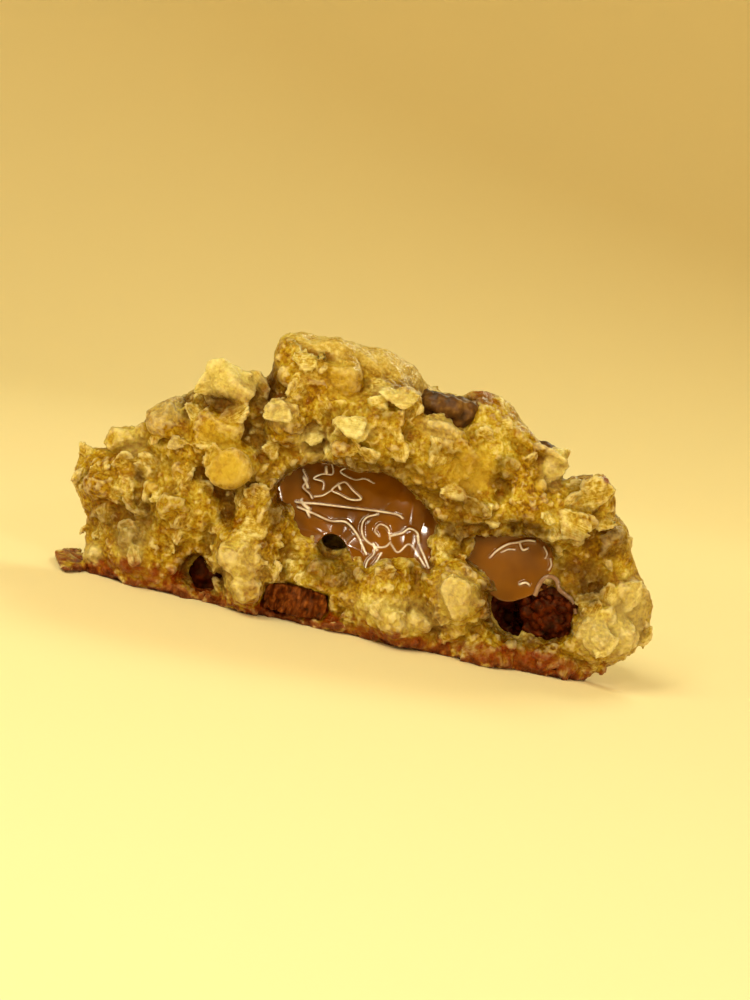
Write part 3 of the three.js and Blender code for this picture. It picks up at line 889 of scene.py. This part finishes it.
SHADED = [
    (36.0, 8.6, 4.4, 2.8, 0.9), (69.2, 14.2, 4.2, 3.0, 1.0), (52.4, 19.4, 3.2, 4.2, 0.8),
    (8.0, 8.6, 4.0, 4.2, 0.7), (3.0, 8.0, 2.6, 3.0, 0.5), (13.4, 12.2, 3.4, 3.6, 0.25),
    (67.2, 20.0, 3.0, 1.2, 0.6), (72.0, 14.6, 2.0, 2.4, 0.6), (57.8, 8.8, 1.8, 4.0, 0.7),
    (22.6, 31.8, 1.8, 2.2, 0.8), (38.0, 31.0, 3.8, 0.9, 0.6), (47.0, 27.8, 3.4, 0.9, 0.5),
    (16.6, 27.6, 3.0, 1.8, 0.8), (43.0, 24.2, 6.0, 1.4, 0.6), (66.0, 27.0, 1.6, 1.8, 0.5),
    (7.4, 15.4, 1.4, 1.6, 0.7), (60.4, 20.0, 4.0, 1.6, 0.6),
]
AMBER = [
    (19.8, 19.2, 3.3, 2.8, 1.0), (51.5, 26.0, 3.2, 3.4, 0.7), (32.3, 34.6, 2.3, 3.0, 0.6),
    (9.7, 14.2, 1.0, 1.0, 0.8), (61.3, 25.9, 0.8, 0.8, 0.8), (17.0, 23.6, 2.8, 2.4, 0.4),
    (44.0, 22.6, 4.0, 1.8, 0.4),
]
SMEAR_AND_SHADOW = 0.8

x, z = place[:, 0] / MM - LEFT_END, place[:, 2] / MM
smear_and_shadow = painted(place, STAINS_AND_SHADOWS)
# A band of stain and painted shadow above each pool and the hollow, as under an overhang.
for outline in (POOL, RIGHT_POOL, HOLLOW):
    upper = smoothstep(-2.0, 3.0, z - np.mean(outline, 0)[1])
    near = (1 - smoothstep(0.2, 1.6, outside_by(outline, x, z))) * (behind_break(place) < 6)
    smear_and_shadow = np.maximum(smear_and_shadow, SMEAR_AND_SHADOW * near * upper)
write_attribute(crumb, "stain_and_shadow", smear_and_shadow)
for name, rows in (("shaded", SHADED), ("pale", PALE), ("amber", AMBER), ("toasted", TOASTED)):
    write_attribute(crumb, name, painted(place, rows))
report("the crumb's attributes are written")

# %% [markdown]
# ## Materials
# Each material is a small net of nodes. One function turns a hex colour to linear light. One adds any
# node with its settings and links, and gives back the output that is used next. Two steps come back in
# these finishes, so they have a name: a tone that a grain makes uneven, and a colour that turns towards
# another where a measure says so.


# %% Helpers for materials
def linear(code):
    """An sRGB hex colour as linear light."""
    shares = [int(code[i : i + 2], 16) / 255 for i in (1, 3, 5)]
    return (*[s / 12.92 if s <= 0.04045 else ((s + 0.055) / 1.055) ** 2.4 for s in shares], 1.0)


def add_node(material, kind, output, inputs=None, stops=(), **settings):
    """Adds a node. An input is a value or another node's output. Stops are the colours of a ramp."""
    node = material.node_tree.nodes.new(f"ShaderNode{kind}")
    for name, value in settings.items():
        setattr(node, name, value)
    for name, value in (inputs or {}).items():
        if isinstance(value, bpy.types.NodeSocket):
            material.node_tree.links.new(value, node.inputs[name])
        else:
            node.inputs[name].default_value = value
    elements = node.color_ramp.elements if stops else []
    while len(elements) < len(stops):
        elements.new(0.5)
    for element, (position, code) in zip(elements, stops):
        element.position = position
        element.color = linear(code)
    return node.outputs[output]


def new_material(name, **sockets):
    material = bpy.data.materials.new(name)
    material.use_nodes = True
    shader = material.node_tree.nodes["Principled BSDF"]
    for socket, value in sockets.items():
        shader.inputs[socket.replace("_", " ")].default_value = value
    report(f"material {name}")
    return material, shader


def drive(material, shader, **sockets):
    """Links each named socket of the shader to an output."""
    for socket, output in sockets.items():
        material.node_tree.links.new(output, shader.inputs[socket.replace("_", " ")])


def dress(piece, material):
    piece.data.materials.clear()
    piece.data.materials.append(material)
    pick(piece)
    bpy.ops.object.shade_smooth()


# %% Helpers for tones and colours
def uneven(material, tone, grain, low, high, darker, paler):
    """A tone that is changed by darker to paler, as a grain goes from low to high."""
    ends = {"Value": grain, "From Min": low, "From Max": high, "To Min": darker, "To Max": paler}
    change = add_node(material, "MapRange", "Result", ends)
    return add_node(material, "Math", 0, {0: tone, 1: change}, operation="ADD")


def turned(material, colour, measure, low, high, most, other):
    """A colour turned towards the other, by up to most, as an attribute or output goes from low to high."""
    if isinstance(measure, str):
        measure = add_node(material, "Attribute", "Fac", attribute_name=measure)
    ends = {"Value": measure, "From Min": low, "From Max": high, "To Max": most}
    share = add_node(material, "MapRange", "Result", ends)
    return add_node(material, "Mix", 2, {0: share, 6: colour, 7: other}, data_type="RGBA")


# %% [markdown]
# Baked dough is golden, and its creases are darkened as painted shade. A little light goes into it and comes
# out warm, which softens its edges. So one tone runs through noise of three sizes: 7 mm as the clods, 1.6 mm
# as the curds of crumb, and 0.5 mm for its grain. Flour and sugar are finer than the picture can show, so
# that last one is drawn coarser than they are.

# %% Baked oat dough: its tone
CLOD_PATCH, CURD, GRAIN = 7 * MM, 1.6 * MM, 0.5 * MM
baked, shader = new_material(
    "baked_oat_dough",
    Specular_IOR_Level=0.35,
    Specular_Tint=linear("#ffd884"),
    Subsurface_Weight=0.3,
    Subsurface_Radius=(1.3 * MM, 1.0 * MM, 0.35 * MM),
    Subsurface_Scale=1.0,
)
on_cookie = add_node(baked, "TexCoord", "Object")
patches, curds, speckle = [
    add_node(baked, "TexNoise", "Fac", {"Vector": on_cookie, "Scale": 1 / size, "Detail": 3.0})
    for size in (CLOD_PATCH, CURD, GRAIN)
]
shade = add_node(baked, "Attribute", "Fac", attribute_name="shade")
tone = add_node(baked, "Math", 0, {0: shade, 1: 0.1}, operation="MULTIPLY")
tone = uneven(baked, tone, patches, 0.3, 0.7, 0.1, 0.5)
tone = uneven(baked, tone, curds, 0.3, 0.7, -0.04, 0.14)
tone = uneven(baked, tone, speckle, 0.35, 0.65, -0.22, 0.22)
GOLDEN = [(0.0, "#724600"), (0.3, "#a27a08"), (0.6, "#bca030"), (0.95, "#dac974")]
dough = add_node(baked, "ValToRGB", "Color", {"Fac": tone}, stops=GOLDEN)

# %% [markdown]
# A rolled oat shows pale fibres along its length. So its noise is read by the place in the flake, and
# changes slowly along it, fast across it, and from flake to flake.

# %% Fibres in the oats
FIBRES = {"along": 3.0, "across": 22.0, "shade": 9.0}
OATEN = [(0.0, "#8e6c10"), (0.35, "#b69a3c"), (0.7, "#d4c278"), (1.0, "#ece0ac")]
in_flake = {}
for number, (name, rate) in enumerate(FIBRES.items()):
    measure = add_node(baked, "Attribute", "Fac", attribute_name=name)
    in_flake[number] = add_node(baked, "Math", 0, {0: measure, 1: rate}, operation="MULTIPLY")
fibre_place = add_node(baked, "CombineXYZ", 0, in_flake)
fibres = add_node(baked, "TexNoise", "Fac", {"Vector": fibre_place, "Scale": 1.0, "Detail": 3.0})
oat_tone = uneven(baked, tone, fibres, 0.35, 0.65, -0.3, 0.3)
oat = add_node(baked, "ValToRGB", "Color", {"Fac": oat_tone}, stops=OATEN)

# %% [markdown]
# The torn dough is darkened in pits, hollows and creases as painted shade, and painted paler on tips as a
# highlight, by the measures of the mesh. Spots of painted shade and of stain with painted shadow are broken
# up by the curds, so that they have no clean edge.

# %% Torn dough: the measure, from, to, the most that the colour turns, and the colour it turns to
shaded = add_node(baked, "Attribute", "Fac", attribute_name="shaded")
stained_and_shaded = add_node(baked, "Attribute", "Fac", attribute_name="stain_and_shadow")
ends = {"Value": curds, "From Min": 0.35, "From Max": 0.6, "To Min": 0.55}
broken_up = add_node(baked, "MapRange", "Result", ends)
shadow = add_node(baked, "Math", 0, {0: shaded, 1: broken_up}, operation="MULTIPLY")
# Chocolate stains and painted shadow, broken up by the curds.
stain_and_shadow = uneven(baked, stained_and_shaded, curds, 0.3, 0.7, -0.35, 0.25)
for measure, low, high, most, other in (
    ("oat", 0.0, 1.0, 0.65, oat),
    ("pale", 0.0, 1.0, 0.5, linear("#ded28c")),
    # Painted shade in hollows, pits and creases.
    ("hollow", 0.4, 3.0, 0.75, linear("#5e3400")),
    ("pit", 0.25, 1.6, 0.75, linear("#482200")),
    ("broad", 0.0, -0.6, 0.45, linear("#6c4000")),
    # Painted highlight: ridges are paler.
    ("fine", 0.04, 0.22, 0.45, linear("#f0e2ae")),
    ("amber", 0.0, 1.0, 0.75, linear("#c0a034")),
    # Painted shade in recesses, then chocolate stains with painted shadow in gaps and under overhangs.
    (shadow, 0.0, 1.0, 0.82, linear("#502a00")),
    (stain_and_shadow, 0.25, 0.9, 0.7, linear("#401a00")),
):
    dough = turned(baked, dough, measure, low, high, most, other)

# %% [markdown]
# Behind the break is plain crust, darkened in its creases as painted shade. The base stood on the hot tray,
# so it is toasted, darkest at the very bottom, and its upper edge is wavy.

# %% Crust and toasted base
CRUSTY = [(0.0, "#9e7a20"), (0.4, "#c0a24c"), (0.9, "#deca86")]
WAVE = 1.2 * MM
crust = add_node(baked, "ValToRGB", "Color", {"Fac": tone}, stops=CRUSTY)
crust = turned(baked, crust, "oat", 0.0, 1.0, 0.5, oat)
# Painted shade: the crust is darker in its creases.
crust = turned(baked, crust, "broad", 0.0, -0.4, 0.8, linear("#7c4a04"))
colour = turned(baked, crust, "broken", 0.0, 1.0, 1.0, dough)
height = add_node(baked, "SeparateXYZ", "Z", {0: on_cookie})
wavy = uneven(baked, height, curds, 0.3, 0.7, -WAVE, WAVE)
near_tray = add_node(baked, "MapRange", "Result", {"Value": wavy, "From Min": 3.0 * MM, "From Max": 0.6 * MM})
toasted = add_node(baked, "Attribute", "Fac", attribute_name="toasted")
toast = add_node(baked, "Math", 0, {0: near_tray, 1: toasted}, operation="MAXIMUM")
toast = uneven(baked, toast, curds, 0.35, 0.65, 0.2, -0.45)
colour = turned(baked, colour, toast, 0.0, 0.8, 0.88, linear("#782200"))
colour = turned(baked, colour, wavy, 0.9 * MM, -0.3 * MM, 0.95, linear("#4c1200"))

# %% Butter and chocolate make the crumb smoother, and so do the painted shadows in the stain mask
amber = add_node(baked, "Attribute", "Fac", attribute_name="amber")
wet = add_node(baked, "Math", 0, {0: amber, 1: stained_and_shaded}, operation="MAXIMUM")
smoother = add_node(baked, "Math", 0, {0: wet, 1: -0.12}, operation="MULTIPLY")
roughness = uneven(baked, smoother, curds, 0.3, 0.7, 0.26, 0.42)
relief = add_node(baked, "Bump", "Normal", {"Strength": 0.7, "Distance": 0.4 * MM, "Height": speckle})
drive(baked, shader, Base_Color=colour, Roughness=roughness, Normal=relief)
dress(crumb, baked)

# %% [markdown]
# Melted milk chocolate gives the eye an even, warm brown under a clear, oily shine, with slow swirls about 5
# mm wide. Along the middle of each thread a painted highlight makes it nearly white, with breaks every 1.5 mm
# or so.

# %% Melted milk chocolate
SWIRL, HIGHLIGHT_BREAK = 5 * MM, 1.5 * MM
melted, shader = new_material(
    "melted_milk_chocolate",
    Roughness=0.1,
    Specular_IOR_Level=0.4,
    Coat_Weight=0.4,
    Coat_Roughness=0.03,
    Subsurface_Weight=0.15,
    Subsurface_Radius=(0.8 * MM, 0.3 * MM, 0.1 * MM),
    Subsurface_Scale=1.0,
)
on_cookie = add_node(melted, "TexCoord", "Object")
swirl, highlight_breaks = [
    add_node(melted, "TexNoise", "Fac", {"Vector": on_cookie, "Scale": 1 / size, "Detail": detail})
    for size, detail in ((SWIRL, 2.0), (HIGHLIGHT_BREAK, 3.0))
]
milk = add_node(melted, "ValToRGB", "Color", {"Fac": swirl}, stops=[(0.35, "#603200"), (0.65, "#7c4600")])
ends = {"Value": highlight_breaks, "From Min": 0.35, "From Max": 0.6, "To Min": 0.4, "To Max": 0.9}
white = add_node(melted, "MapRange", "Result", ends)
# Painted highlight: the middle of each thread is painted nearly white.
highlight = add_node(melted, "Attribute", "Fac", attribute_name="stretched")
highlight = add_node(melted, "Math", 0, {0: highlight, 1: white}, operation="MULTIPLY")
milk = turned(melted, milk, highlight, 0.0, 1.0, 1.0, linear("#f4e8da"))
drive(melted, shader, Base_Color=milk)

# %% [markdown]
# Solid chocolate is rough, and its mottled grain carries both its colour and a fine relief. In the hollow it
# is nearly black, partly its own dark colour and partly painted shade. Where it snapped, paler grains show.
# In the crust it bloomed, which leaves it dusty and greyish brown. The crystals are too fine to show, so the
# grain is drawn about a millimetre wide.


# %% Solid chocolate in the hollow, in the chunk and in the crust
def solid_chocolate(name, width, bump, stops, **sockets):
    material, shader = new_material(name, **sockets)
    on_cookie = add_node(material, "TexCoord", "Object")
    grain = add_node(material, "TexNoise", "Fac", {"Vector": on_cookie, "Scale": 1 / width, "Detail": 4.0})
    cocoa = add_node(material, "ValToRGB", "Color", {"Fac": grain}, stops=stops)
    relief = add_node(material, "Bump", "Normal", {"Strength": bump, "Distance": 0.3 * MM, "Height": grain})
    drive(material, shader, Base_Color=cocoa, Normal=relief)
    return material


WARM_SHINE = linear("#ffc890")
# Dark chocolate in the hollow and the left pit, nearly black: its own colour with painted shade.
dark = solid_chocolate(
    "shaded_dark_chocolate",
    1.2 * MM,
    0.6,
    [(0.3, "#160300"), (0.5, "#360a00"), (0.7, "#602202")],
    Roughness=0.48,
    Specular_IOR_Level=0.2,
    Specular_Tint=WARM_SHINE,
)
snapped = solid_chocolate(
    "snapped_chocolate",
    0.9 * MM,
    0.7,
    [(0.3, "#2c0e00"), (0.5, "#5c2604"), (0.72, "#94501c")],
    Roughness=0.45,
    Specular_IOR_Level=0.25,
    Specular_Tint=WARM_SHINE,
)
bloomed = solid_chocolate(
    "bloomed_chocolate",
    1.5 * MM,
    0.6,
    [(0.3, "#2c1604"), (0.55, "#5a360c"), (0.75, "#86602a")],
    Roughness=0.5,
    Specular_IOR_Level=0.3,
)

# %% [markdown]
# ## Chocolate
# The melted chocolate tore as the cookie broke. Its skin pulled into threads, which now lie on it as thin
# ridges and shine. A plate with the drawn outline gives the ragged edge, a copy of the imported solid gives
# the body behind it, and tubes along a few drawn lines give the threads. One remesh melts them together.


# %% Plates and threads
PLATE_THICKNESS = 3.0 * MM
PAST_OUTLINE = 1.2
THREAD_SUNK = 0.3


def plate(outline, front):
    """A plate that reaches a little past its outline, behind the crumb. front(x, z) gives its face."""
    line = smooth_line(outline, 4, closed=True)
    along = np.roll(line, -1, 0) - np.roll(line, 1, 0)
    line += PAST_OUTLINE * np.column_stack([-along[:, 1], along[:, 0]]) / np.hypot(*along.T)[:, None]
    deselect()
    bpy.ops.mesh.primitive_circle_add(vertices=len(line), radius=1.0, fill_type="NGON")
    piece = bpy.context.active_object
    set_points(piece, [((LEFT_END + x) * MM, front(x, z) * MM, z * MM) for x, z in line])
    bpy.ops.object.mode_set(mode="EDIT")
    bpy.ops.mesh.select_all(action="SELECT")
    bpy.ops.mesh.extrude_region_move(TRANSFORM_OT_translate={"value": (0, PLATE_THICKNESS, 0)})
    bpy.ops.mesh.select_all(action="SELECT")
    bpy.ops.mesh.quads_convert_to_tris()
    bpy.ops.mesh.normals_make_consistent(inside=False)
    bpy.ops.object.mode_set(mode="OBJECT")
    return piece


def thread(rows, front, radius):
    """A round thread that lies on a face, sunk in a little."""
    line = smooth_line(rows)
    curve = bpy.data.curves.new("thread", "CURVE")
    curve.dimensions = "3D"
    curve.bevel_depth = radius * MM
    curve.bevel_resolution = 2
    curve.use_fill_caps = True
    spline = curve.splines.new("POLY")
    spline.points.add(len(line) - 1)
    for point, (x, z) in zip(spline.points, line):
        point.co = ((LEFT_END + x) * MM, (front(x, z) - THREAD_SUNK * radius) * MM, z * MM, 1.0)
    piece = pick(new_piece("thread", curve))
    bpy.ops.object.convert(target="MESH")
    return bpy.context.active_object


# %% A melted pool
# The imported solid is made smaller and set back, so that it fills the plate from behind and shows nowhere.
BODY_SHARE = (0.82, 1.0, 0.6)
BODY_RAISED = 1.5 * MM
BODY_BEHIND = 0.8
THREAD_SHARE = 0.8


def near_lines(places, threads):
    """1 on the middle of a thread and 0 beside it, for points given in millimetres."""
    spots = places[:, [0, 2]] - (LEFT_END, 0)
    nearest = np.full(len(places), 9.0)
    for radius, rows in threads:
        line = smooth_line(rows)
        for start, edge in zip(line, np.diff(line, axis=0)):
            share = np.clip((spots - start) @ edge / (edge @ edge), 0, 1)
            far = np.hypot(*(spots - start - share[:, None] * edge).T)
            nearest = np.minimum(nearest, far / radius)
    return 1 - smoothstep(0.2, 0.6, nearest)


def pool(name, node, outline, front, threads):
    body = copy_of_node(node, name)
    place = stretched(points(body), BODY_SHARE, BODY_RAISED)
    face = front(place[:, 0] / MM - LEFT_END, place[:, 2] / MM)
    place[:, 1] = np.maximum(place[:, 1], (face + BODY_BEHIND) * MM)
    set_points(body, place)
    lines = [thread(rows, front, THREAD_SHARE * radius) for radius, rows in threads]
    join([body, plate(outline, front), *lines])
    skin(body, 0.12 * MM, 2)
    roughen(body, 6.0 * MM, 0.6 * MM, 0, direction="Y")
    # Painted highlight along the middle of each thread.
    write_attribute(body, "stretched", near_lines(points(body) / MM, threads))
    declare(body, "melted_chocolate", node)
    dress(body, melted)


# %% [markdown]
# The threads of the middle pool run from a bundle at its left to its lowest drips. Each row is a radius
# in millimetres and the places the thread goes through.

# %% The pool in the middle
POOL_THREADS = [
    (0.26, [(29.2, 20.6), (30.1, 19.4), (29.7, 18.4), (30.8, 17.7), (31.4, 17.0)]),
    (0.22, [
        (31.6, 22.0), (32.8, 22.2), (33.3, 20.9), (31.9, 20.6), (30.9, 19.8), (32.3, 19.6), (32.5, 18.4),
    ]),
    (0.26, [
        (34.4, 19.8), (35.3, 20.2), (36.5, 19.4), (37.9, 18.5), (36.5, 18.1), (34.8, 18.5), (33.7, 18.8),
        (34.4, 19.8),
    ]),
    (0.22, [(33.6, 18.7), (32.6, 17.8), (31.4, 17.4)]),
    (0.20, [(35.2, 22.3), (34.3, 21.4), (36.4, 20.8), (37.8, 21.2), (39.4, 20.8)]),
    (0.30, [(29.2, 16.2), (32.3, 16.6), (36.5, 17.0), (40.6, 17.4), (43.2, 17.5), (44.2, 17.1)]),
    (0.30, [
        (29.6, 15.6), (31.9, 15.2), (34.4, 14.7), (36.5, 15.0), (38.2, 13.9), (39.4, 12.5), (40.3, 11.3),
    ]),
    (0.26, [
        (40.7, 17.0), (39.2, 16.2), (38.8, 15.0), (39.4, 13.5), (41.1, 12.7), (42.5, 12.9), (43.2, 13.8),
    ]),
    (0.24, [(43.0, 14.0), (42.4, 15.4), (41.2, 15.7), (40.7, 14.7), (41.6, 14.0)]),
    (0.26, [
        (43.0, 14.5), (44.4, 15.2), (45.3, 16.0), (46.5, 15.6), (47.1, 14.1), (48.2, 12.6), (49.2, 11.2),
    ]),
    (0.24, [(43.2, 13.5), (44.4, 12.6), (45.5, 13.9), (46.4, 13.6), (47.6, 12.4), (48.6, 11.4)]),
    (0.22, [(41.1, 12.6), (41.2, 11.6), (40.6, 10.6), (40.5, 9.4)]),
    (0.22, [(42.2, 12.0), (41.7, 10.6), (40.7, 9.2)]),
    (0.22, [(49.0, 13.4), (50.0, 13.8), (50.4, 13.2), (49.6, 12.9)]),
    (0.42, [(29.5, 19.7), (30.1, 19.0), (30.5, 18.3)]),
    (0.40, [(32.2, 21.6), (32.5, 20.8)]),
    (0.50, [(29.9, 16.5), (30.6, 16.0), (31.4, 15.6)]),
    (0.34, [(30.9, 15.4), (31.6, 14.5)]),
    (0.34, [(34.5, 19.6), (34.9, 19.0)]),
    (0.42, [(40.9, 12.9), (41.6, 12.2)]),
    (0.34, [(46.6, 15.2), (47.0, 14.2)]),
]
pool("melted_pool", "chocolate_pool", POOL, pool_front, POOL_THREADS)

# %% The pool on the right
RIGHT_THREADS = [
    (0.30, [(57.0, 14.4), (57.8, 15.6), (59.0, 16.7), (60.2, 17.2), (61.6, 17.8), (62.8, 17.9)]),
    (0.30, [(61.8, 11.7), (62.6, 12.1), (63.3, 11.8)]),
    (0.26, [(65.2, 16.0), (65.5, 15.2), (65.3, 14.4)]),
    (0.30, [(60.6, 17.2), (61.2, 16.4), (62.0, 16.8)]),
    (0.24, [(64.0, 17.4), (64.6, 16.6), (64.5, 15.8)]),
    (0.22, [(58.4, 15.4), (59.2, 16.0), (60.2, 16.2)]),
]
pool("melted_right_pool", "chocolate_right_pool", RIGHT_POOL, right_front, RIGHT_THREADS)

# %% [markdown]
# Under the right pool is a hollow whose walls are soaked with dark chocolate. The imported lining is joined
# with a soft lump at its right and with crumbs that stuck to it.

# %% The dark lining of the hollow
LINING_GROWTH = (1.12, 1.0, 1.15)
LUMP_RADII = (7.0 * MM, 3.4 * MM, 6.0 * MM)
LUMP_CENTRE = ((LEFT_END + 68.8) * MM, -10.8 * MM, 9.8 * MM)
STUCK_CRUMBS = 160
STUCK_X, STUCK_Z = (56, 71.5), (3, 13)

lining = copy_of_node("chocolate_lining", "dark_lining")
set_points(lining, stretched(points(lining), LINING_GROWTH))
deselect()
bpy.ops.mesh.primitive_ico_sphere_add(subdivisions=4, radius=1.0)
lump = bpy.context.active_object
set_points(lump, points(lump) * LUMP_RADII + LUMP_CENTRE)
join([lining, lump])
soft_wall = tree_of(lining)
soaked = []
while len(soaked) < STUCK_CRUMBS:
    x, z = rng.uniform(*STUCK_X), rng.uniform(*STUCK_Z)
    spot, outward = spot_on(soft_wall, x, z)
    if spot is None or outside_by(HOLLOW, x, z) > 0.5:
        continue
    # Large crumbs lie at the left and at the bottom, and few of them on the soft lump.
    large = x < 63.5 or z < 6 or rng.random() < 0.15
    size = rng.uniform(0.4, 1.2) if large else rng.uniform(0.3, 0.5)
    centre = spot + outward * 0.1 * size * MM
    soaked.append(placing(GRAINS, centre, any_turn(), size * rng.uniform(0.7, 1.3, 3)))
join([lining, copies("soaked", soaked)[0]])
skin(lining, 0.2 * MM, 2)
roughen(lining, 4.0 * MM, 2.2 * MM, 2)
roughen(lining, 1.0 * MM, 0.35 * MM, 3)
declare(lining, "dark_chocolate", "chocolate_lining")
dress(lining, dark)

# %% The thread that hangs on the upper rim of the hollow
RIM_THREAD = [
    (64.2, 10.6), (64.5, 12.4), (65.4, 13.6), (66.6, 13.4), (67.3, 12.2), (68.4, 11.6), (69.6, 10.9),
    (70.4, 9.2),
]
RIM_FACE = -14.2
RIM_RADIUS = 0.34
RIM_HIGHLIGHT = 0.15

hanging = thread(RIM_THREAD, lambda x, z: RIM_FACE, RIM_RADIUS)
hanging.name = "melted_rim"
declare(hanging, "melted_chocolate", "chocolate_lining")
# Painted highlight on the hanging thread, at one share all along it.
write_attribute(hanging, "stretched", np.full(len(hanging.data.vertices), RIM_HIGHLIGHT))
dress(hanging, melted)

# %% [markdown]
# The chunk in the base is a broken bit of a bar. It snapped along the grain of the chocolate, which left
# upright steps. Its points are moved by noise that is stretched upwards.


# %% The chunk
def fracture(piece, height):
    place = points(piece)
    for k, (x, y, z) in enumerate(place / MM):
        broad = noise.noise(Vector((1.1 * x, 0.4 * y, 0.22 * z)))
        narrow = noise.noise(Vector((2.9 * x, y, 0.5 * z)))
        place[k, 1] += height * (broad + 0.5 * narrow) * MM
    set_points(piece, place)


CHUNK_FORWARD = 1.4 * MM
CHUNK_STEPS = 1.3
chunk = copy_of_node("chocolate_chunk", "dark_chunk")
skin(chunk, 0.2 * MM, 2)
set_points(chunk, points(chunk) - (0, CHUNK_FORWARD, 0))
fracture(chunk, CHUNK_STEPS)
declare(chunk, "dark_chocolate", "chocolate_chunk")
dress(chunk, snapped)


# %% [markdown]
# Chips that stayed whole are drops of chocolate, dulled by the oven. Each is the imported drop, roughened.
# The one in the crown was broken level at its top.


# %% Chips
def chip(name, node, finish, slot, stretch, flat):
    """A chip of chocolate, cut level at the share flat of its height."""
    piece = copy_of_node(node, name)
    skin(piece, 0.25 * MM, 3)
    place = stretched(pushed(points(piece)), stretch)
    low, high = place[:, 2].min(), place[:, 2].max()
    place[:, 2] = np.minimum(place[:, 2], low + flat * (high - low))
    set_points(piece, place)
    roughen(piece, 1.8 * MM, 1.5 * MM, 3)
    declare(piece, slot, node)
    dress(piece, finish)


chip("left_chip", "chocolate_left_chip", dark, "dark_chocolate", (1.4, 0.5, 1.3), 1.0)
chip("crown_chip", "chocolate_crown_chip", bloomed, "chocolate_chip", (1.25, 1.3, 1.15), 0.78)
for number in (1, 2, 3):
    node = f"chocolate_crust_chip_{number}"
    chip(f"crust_chip_{number}", node, bloomed, "chocolate_chip", (1.12, 1.12, 1.12), 1.0)

# %% [markdown]
# ## Setting
# A plain pale room: a round floor that curves up into a wall, so that no horizon shows from any side. It
# is matte paper, which gives the eye a calm ground with soft shadows and no shine.

# %% The room
ROOM_RADIUS, ROOM_HEIGHT, ROOM_BEND = 0.7, 1.2, 0.4
deselect()
bpy.ops.mesh.primitive_circle_add(vertices=96, radius=ROOM_RADIUS, fill_type="NGON")
room = bpy.context.active_object
room.name = "room"
bpy.ops.object.mode_set(mode="EDIT")
bpy.ops.mesh.select_mode(type="EDGE")
bpy.ops.mesh.select_all(action="SELECT")
bpy.ops.mesh.region_to_loop()
bpy.ops.mesh.extrude_edges_move(TRANSFORM_OT_translate={"value": (0, 0, ROOM_HEIGHT)})
bpy.ops.mesh.select_all(action="SELECT")
bpy.ops.mesh.normals_make_consistent(inside=True)
bpy.ops.object.mode_set(mode="OBJECT")
modify(room, "BEVEL", width=ROOM_BEND, segments=16, limit_method="ANGLE", angle_limit=math.radians(60))
paper, shader = new_material("matte_paper", Roughness=0.8)
shader.inputs["Base Color"].default_value = linear("#fce8b4")
dress(room, paper)
report(f"the room is {2 * ROOM_RADIUS} m wide")


# %% [markdown]
# A large soft window light from the upper left gives the form, and one from behind lights the rim. Five
# small lamps in an arch draw the bright lines on wet chocolate. A dim warm world fills the shadows.


# %% Lights
def area_light(name, size, power, place, colour):
    deselect()
    bpy.ops.object.light_add(type="AREA", location=place)
    lamp = bpy.context.active_object
    lamp.name = name
    lamp.data.shape = "RECTANGLE"
    lamp.data.size, lamp.data.size_y = size
    lamp.data.energy = power
    lamp.data.color = linear(colour)[:3]
    lamp.rotation_euler = (TARGET - Vector(place)).to_track_quat("-Z", "Y").to_euler()
    report(f"{name}: {power} W")


TARGET = Vector((0.0, -16 * MM, 19 * MM))
DAYLIGHT, LAMPLIGHT = "#e9efce", "#fff6e2"
ARCH_RADIUS, ARCH_BEFORE = 0.30, 0.36
area_light("window", (0.24, 0.20), 1.45, (-0.20, -0.26, 0.40), DAYLIGHT)
area_light("back_light", (0.20, 0.10), 0.9, (0.16, 0.30, 0.34), DAYLIGHT)
for number, angle in enumerate((-80, -40, 0, 40, 80)):
    turn = math.radians(angle)
    place = TARGET + Vector((ARCH_RADIUS * math.sin(turn), -ARCH_BEFORE, ARCH_RADIUS * math.cos(turn)))
    area_light(f"lamp_{number}", (0.04, 0.04), 0.25, place, LAMPLIGHT)
world = bpy.data.worlds.new("pale_air")
bpy.context.scene.world = world
world.use_nodes = True
world.node_tree.nodes["Background"].inputs["Color"].default_value = linear("#f0dc80")
world.node_tree.nodes["Background"].inputs["Strength"].default_value = 0.22

# %% [markdown]
# The cookie in the photo leans to the right. Here it stands level, and the camera is rolled by the same
# angle. It sees less width than the photo does, so that the cookie fills the picture.

# %% Camera
DISTANCE = 250 * MM
ELEVATION = math.radians(6)
ROLL = math.radians(12.4)
WIDTH_SEEN = 102.5 * MM
camera_data = bpy.data.cameras.new("camera")
camera = new_piece("camera", camera_data)
camera.location = TARGET + DISTANCE * Vector((0, -math.cos(ELEVATION), math.sin(ELEVATION)))
look = (TARGET - camera.location).to_track_quat("-Z", "Y").to_matrix()
camera.rotation_euler = (look @ Matrix.Rotation(ROLL, 3, "Z")).to_euler()
camera_data.sensor_fit = "HORIZONTAL"
camera_data.lens = camera_data.sensor_width * DISTANCE / WIDTH_SEEN
bpy.context.scene.camera = camera
report(f"camera with a lens of {camera_data.lens:.0f} mm")
bpy.context.scene.view_settings.view_transform = "Standard"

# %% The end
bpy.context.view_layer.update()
report("done")
